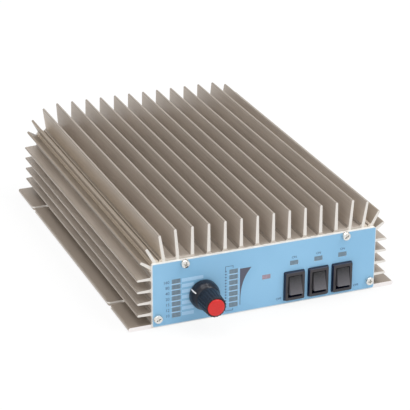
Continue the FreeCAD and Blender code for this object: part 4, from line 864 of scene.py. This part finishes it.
def thread(mesh, core, crest, pitch, low, high):
    """A helical ridge about Z between two heights; returns its vertices."""
    before = set(mesh.verts)
    steps = 32
    root = core - 0.1
    turns = (high - low) / pitch - 1
    corners = [(root, low), (crest, low + pitch * 0.42), (crest, low + pitch * 0.58), (root, low + pitch)]
    verts = [mesh.verts.new((radius * MM, 0, height * MM)) for radius, height in corners]
    edges = [mesh.edges.new(pair) for pair in zip(verts, verts[1:] + verts[:1])]
    swept = bmesh.ops.spin(mesh, geom=verts + edges, cent=(0, 0, 0), axis=(0, 0, 1),
                           dvec=(0, 0, pitch * MM / steps), angle=FULL_TURN * turns,
                           steps=int(steps * turns))
    last = [item for item in swept["geom_last"] if isinstance(item, bmesh.types.BMEdge)]
    bmesh.ops.edgeloop_fill(mesh, edges=edges)
    bmesh.ops.edgeloop_fill(mesh, edges=last)
    return [vert for vert in mesh.verts if vert not in before]


def square_flange(mesh, wide):
    """A square plate with round corners, standing on height 0; returns its vertices."""
    half_thick = SOCKET_FLANGE / 2 * MM
    corner_round = 2
    rim_round = 0.15
    plate = bmesh.ops.create_cube(mesh, size=2)["verts"]
    bmesh.ops.scale(mesh, vec=(wide / 2, wide / 2, half_thick), verts=plate)
    corners = [edge for edge in mesh.edges if abs(edge.verts[0].co.z - edge.verts[1].co.z) > half_thick]
    rounded(mesh, corners, corner_round, 6)
    steep = 1.2
    rounded(mesh, [edge for edge in mesh.edges if edge.calc_face_angle() > steep], rim_round)
    bmesh.ops.translate(mesh, vec=(0, 0, half_thick), verts=mesh.verts)
    return list(mesh.verts)


def socket_shell(name, node):
    """A square flange and a threaded barrel."""
    low, high = ends(node)
    front = (high.y - rear_face) / MM
    back = (low.y - rear_face) / MM
    bore = 11.6 / 2
    crest = 15.88 / 2
    core = crest - 0.6
    pitch = 25.4 / 24
    mouth_bevel = 0.25
    nose = core - 0.3
    nose_start = front - 0.5
    collar_end = SOCKET_FLANGE + 0.3
    core_start = SOCKET_FLANGE + 0.7
    thread_start = SOCKET_FLANGE + 0.6
    thread_end = front - 0.3
    mesh = bmesh.new()
    verts = square_flange(mesh, high.x - low.x)
    profile = [(bore, back), (crest, back), (crest, collar_end), (core, core_start), (core, nose_start),
               (nose, front), (bore + mouth_bevel, front), (bore, front - mouth_bevel), (bore, back)]
    verts += turned(mesh, profile, 64)
    verts += thread(mesh, core, crest, pitch, thread_start, thread_end)
    where = centre(node)
    where.y = rear_face
    moved(mesh, verts, where, FACING_REAR)
    return finished(name, mesh, FINISHES["nickel"], replaces=[node])


def rear_pieces():
    """The shells of the sockets and the jack, the fuses and the cable gland."""
    socket_shell("input_socket_shell", "rf_input_socket")
    socket_shell("output_socket_shell", "rf_output_socket")
    black = FINISHES["black_plastic"]
    soft_edged("fuse_holder", "fuse_block", 0.35, black)
    soft_edged("fuse_tops", "blade_fuses", 0.3, FINISHES["fuse_green"])
    soft_edged("cable_gland", "supply_gland", 0.3, black)
    soft_edged("jack_shell", "control_jack_shell", 0.2, FINISHES["nickel"])


# ---- print on the panel ----

def plates(name, outlines, finish):
    """Thin layers of ink on the panel, each outline a list of (x, z) in millimetres."""
    thick = INK * 1.2
    mesh = bmesh.new()
    for outline in outlines:
        verts = [mesh.verts.new((x * MM, panel_face - INK, z * MM)) for x, z in outline]
        mesh.faces.new(verts)
    bmesh.ops.recalc_face_normals(mesh, faces=mesh.faces)
    faces = list(mesh.faces)
    raised = bmesh.ops.extrude_face_region(mesh, geom=faces)["geom"]
    back = [item for item in raised if isinstance(item, bmesh.types.BMVert)]
    bmesh.ops.translate(mesh, vec=(0, thick, 0), verts=back)
    return finished(name, mesh, finish, smooth=False)


def bar(left, right, low, high):
    """The outline of an upright rectangle."""
    return [(left, low), (right, low), (right, high), (left, high)]


def numbers(name, labels, finish, high=1.9):
    """Numbers and switch words in ink, each (text, x, z, alignment)."""
    size_per_height = 1.35
    mesh = bmesh.new()
    for text, x, z, align in labels:
        curve = bpy.data.curves.new(name, "FONT")
        curve.body = text
        curve.size = high * MM * size_per_height
        curve.align_x = align
        curve.align_y = "CENTER"
        curve.extrude = INK
        letters = bpy.data.objects.new(name, curve)
        bpy.context.scene.collection.objects.link(letters)
        bpy.context.view_layer.update()
        flat = letters.evaluated_get(bpy.context.evaluated_depsgraph_get()).to_mesh()
        before = set(mesh.verts)
        mesh.from_mesh(flat)
        fresh = [vert for vert in mesh.verts if vert not in before]
        moved(mesh, fresh, (x * MM, panel_face, z * MM), FACING_FRONT)
        letters.to_mesh_clear()
        bpy.data.objects.remove(letters)
    return finished(name, mesh, finish, smooth=False)


def across_in_mm(node):
    """Where a node starts and ends, from left to right, in millimetres."""
    low, high = ends(node)
    return low.x / MM, high.x / MM


def band_numbers(windows):
    """A number to the left of each band lamp."""
    number_gap = 1.3
    place = across_in_mm("band_lamps")[0] - number_gap
    bands = ("160", "80", "40", "20", "15", "12", "10")
    numbers("band_numbers", [(text, place, z, "RIGHT") for text, z in zip(bands, windows)], label_ink)


def switch_words():
    """ON above each status lamp, and OFF at the outer feet of the outer switches."""
    above_lamp = 1.9
    beside_switch = 1.2
    off_height = 5.2
    words = [("ON", (low.x + high.x) / 2 / MM, high.z / MM + above_lamp, "CENTER")
             for low, high in islands("status_lamps")]
    words += [("OFF", across_in_mm("right_switch_housing")[1] + beside_switch, off_height, "LEFT"),
              ("OFF", across_in_mm("left_switch_housing")[0] - beside_switch, off_height, "RIGHT")]
    numbers("switch_words", words, label_ink, 1.5)


def band_routes(windows):
    """A broad line from each band lamp to the knob, the highest one as far as its middle."""
    start = across_in_mm("band_lamps")[1] + 0.7
    half = 1.1
    short_of_middle = 6
    routes = []
    for row, z in enumerate(windows):
        end = selector.x / MM - (short_of_middle if row else 0)
        routes.append(bar(start, end, z - half, z + half))
    plates("band_routes", routes, line_ink)


def lamp_frames(windows):
    """Pale bars between the lamps of both columns, and a rail to the right of the power lamps."""
    past_lamp = 0.6
    half = 0.27
    frames = []
    for node in ("band_lamps", "power_lamps"):
        lamps = sorted(islands(node), key=lambda corners: corners[0].z)
        for (low, high), (next_low, _) in zip(lamps, lamps[1:]):
            z = (high.z + next_low.z) / 2 / MM
            frames.append(bar(low.x / MM - past_lamp, high.x / MM + past_lamp, z - half, z + half))
    rail = across_in_mm("power_lamps")[1] + 0.4
    rail_wide = 0.4
    past_windows = 1.8
    frames.append(bar(rail, rail + rail_wide, min(windows) - past_windows, max(windows) + past_windows))
    plates("lamp_frames", frames, line_ink)


def scale_marks():
    """A bracket around the power lamps and the thirteen marks along its left side."""
    top = 32.4
    low = 3.4
    line = 0.28
    lamps_left = across_in_mm("power_lamps")[0]
    rail = lamps_left - 2.5
    arm = lamps_left + 2.6
    arm_hook = 1.2
    rail_hook = 2.4
    marks = [
        bar(rail, arm, top, top + line),
        bar(rail, arm, low, low + line),
        bar(arm - line, arm, top - arm_hook, top),
        bar(arm - line, arm, low + line, low + arm_hook),
        bar(rail, rail + line, top - rail_hook, top),
        bar(rail, rail + line, low + line, low + rail_hook),
    ]
    dots = 13
    dot_start = rail - 0.1
    dot_end = rail + 0.8
    dot_half = 0.4
    margin = 3
    pitch = (top - low - 2 * margin) / (dots - 1)
    for dot in range(dots):
        height = low + margin + pitch * dot
        marks.append(bar(dot_start, dot_end, height - dot_half, height + dot_half))
    plates("scale_marks", marks, label_ink)


def power_wedge():
    """A wedge that widens upwards along a curve, beside the power lamps."""
    foot = 6.0
    head = 29.7
    foot_wide = 0.35
    head_wider = 7.0
    left = across_in_mm("power_lamps")[1] + 1.2
    steps = 24
    curve = [(left + foot_wide + head_wider * (step / steps) ** 3, foot + (head - foot) * step / steps)
             for step in range(steps + 1)]
    plates("power_wedge", [[(left, head), (left, foot)] + curve], scale_ink)


def panel_print():
    """All the ink on the control panel. windows are the heights of the band lamps, the highest first."""
    windows = sorted(((low.z + high.z) / 2 / MM for low, high in islands("band_lamps")), reverse=True)
    band_numbers(windows)
    switch_words()
    band_routes(windows)
    lamp_frames(windows)
    scale_marks()
    power_wedge()


# ---- studio ----

def looked_at(tree):
    """1 where the camera, a reflection or clear plastic sees a background, 0 for the light it throws."""
    path = tree.nodes.new("ShaderNodeLightPath")
    total = path.outputs["Is Camera Ray"]
    for ray in ("Is Glossy Ray", "Is Transmission Ray"):
        either = tree.nodes.new("ShaderNodeMath")
        either.use_clamp = True
        tree.links.new(total, either.inputs[0])
        tree.links.new(path.outputs[ray], either.inputs[1])
        total = either.outputs[0]
    return total


def lamp(name, place, size, power):
    """A rectangular lamp aimed at the middle of the amplifier."""
    light = bpy.data.lights.new(name, "AREA")
    light.shape = "RECTANGLE"
    light.size, light.size_y = size
    light.energy = power
    lamp_object = bpy.data.objects.new(name, light)
    lamp_object.location = place
    aim = Vector((0, 0, 0.03)) - Vector(place)
    lamp_object.rotation_euler = aim.to_track_quat("-Z", "Y").to_euler()
    bpy.context.scene.collection.objects.link(lamp_object)


def pale_floor():
    """A floor just under the amplifier that takes its shadow and otherwise looks as pale as the sky."""
    mesh = bmesh.new()
    bmesh.ops.create_grid(mesh, x_segments=1, y_segments=1, size=4.0)
    data = bpy.data.meshes.new("floor")
    mesh.to_mesh(data)
    mesh.free()
    floor = bpy.data.objects.new("floor", data)
    bpy.context.scene.collection.objects.link(floor)
    floor.location.z = -0.2 * MM
    glow_share = 0.88
    finish = Finish("pale_floor", srgb(246, 246, 246), 0.9)
    tree = finish.tree
    watched = Wire(finish, looked_at(tree))
    white = finish.node("Emission", None, {"Color": (1, 1, 1, 1), "Strength": 1.0})
    blend = tree.nodes.new("ShaderNodeMixShader")
    finish.feed(blend.inputs[0], watched * glow_share)
    tree.links.new(finish.shader.outputs[0], blend.inputs[1])
    tree.links.new(white.socket, blend.inputs[2])
    tree.links.new(blend.outputs[0], tree.nodes["Material Output"].inputs[0])
    data.materials.append(finish.material)


def plain_sky():
    """A white sky that throws a little less light than it shows."""
    thrown = 0.72
    world = bpy.data.worlds.new("plain_sky")
    bpy.context.scene.world = world
    world.use_nodes = True
    sky = world.node_tree
    ground = sky.nodes["Background"]
    ground.inputs["Color"].default_value = (1, 1, 1, 1)
    level = sky.nodes.new("ShaderNodeMapRange")
    sky.links.new(looked_at(sky), level.inputs["Value"])
    level.inputs["To Min"].default_value = thrown
    level.inputs["To Max"].default_value = 1.0
    sky.links.new(level.outputs[0], ground.inputs["Strength"])


def studio():
    """A pale floor, a plain sky and soft lamps, level enough that colours look as they are."""
    pale_floor()
    plain_sky()
    lamp("key", (1.0, -0.7, 1.7), (1.3, 0.5), 11)
    lamp("fill", (-1.4, -0.6, 1.2), (1.4, 1.4), 4.2)
    lamp("top", (-0.4, 0.15, 2.0), (1.0, 1.0), 10)
    lamp("strip", (0.7, 0.2, 1.9), (1.3, 0.2), 6.5)


def camera():
    """The view: from in front and to the left, looking down."""
    azimuth = math.radians(22.154)
    drop = math.radians(23.740)
    roll = math.radians(0.2237)
    lens_mm = 159.45
    place = Vector((-0.39829, -0.99437, 0.49295))
    level = math.cos(drop)
    ahead = Vector((math.sin(azimuth) * level, math.cos(azimuth) * level, -math.sin(drop)))
    right = ahead.cross(Vector((0, 0, 1))).normalized()
    up = right.cross(ahead)
    tilted = right * math.cos(roll) + up * math.sin(roll)
    up = tilted.cross(ahead)
    turn = Matrix((tilted, up, -ahead)).transposed().to_4x4()
    data = bpy.data.cameras.new("camera")
    data.lens = lens_mm
    data.sensor_width = 36
    data.clip_start = 0.05
    view = bpy.data.objects.new("camera", data)
    view.matrix_world = Matrix.Translation(place) @ turn
    bpy.context.scene.collection.objects.link(view)
    bpy.context.scene.camera = view


camera()
dress_nodes()
screws()
knob()
red_cap()
control_plate()
rocker_switches()
rear_pieces()
panel_print()
studio()
bpy.context.scene.view_settings.view_transform = "Standard"
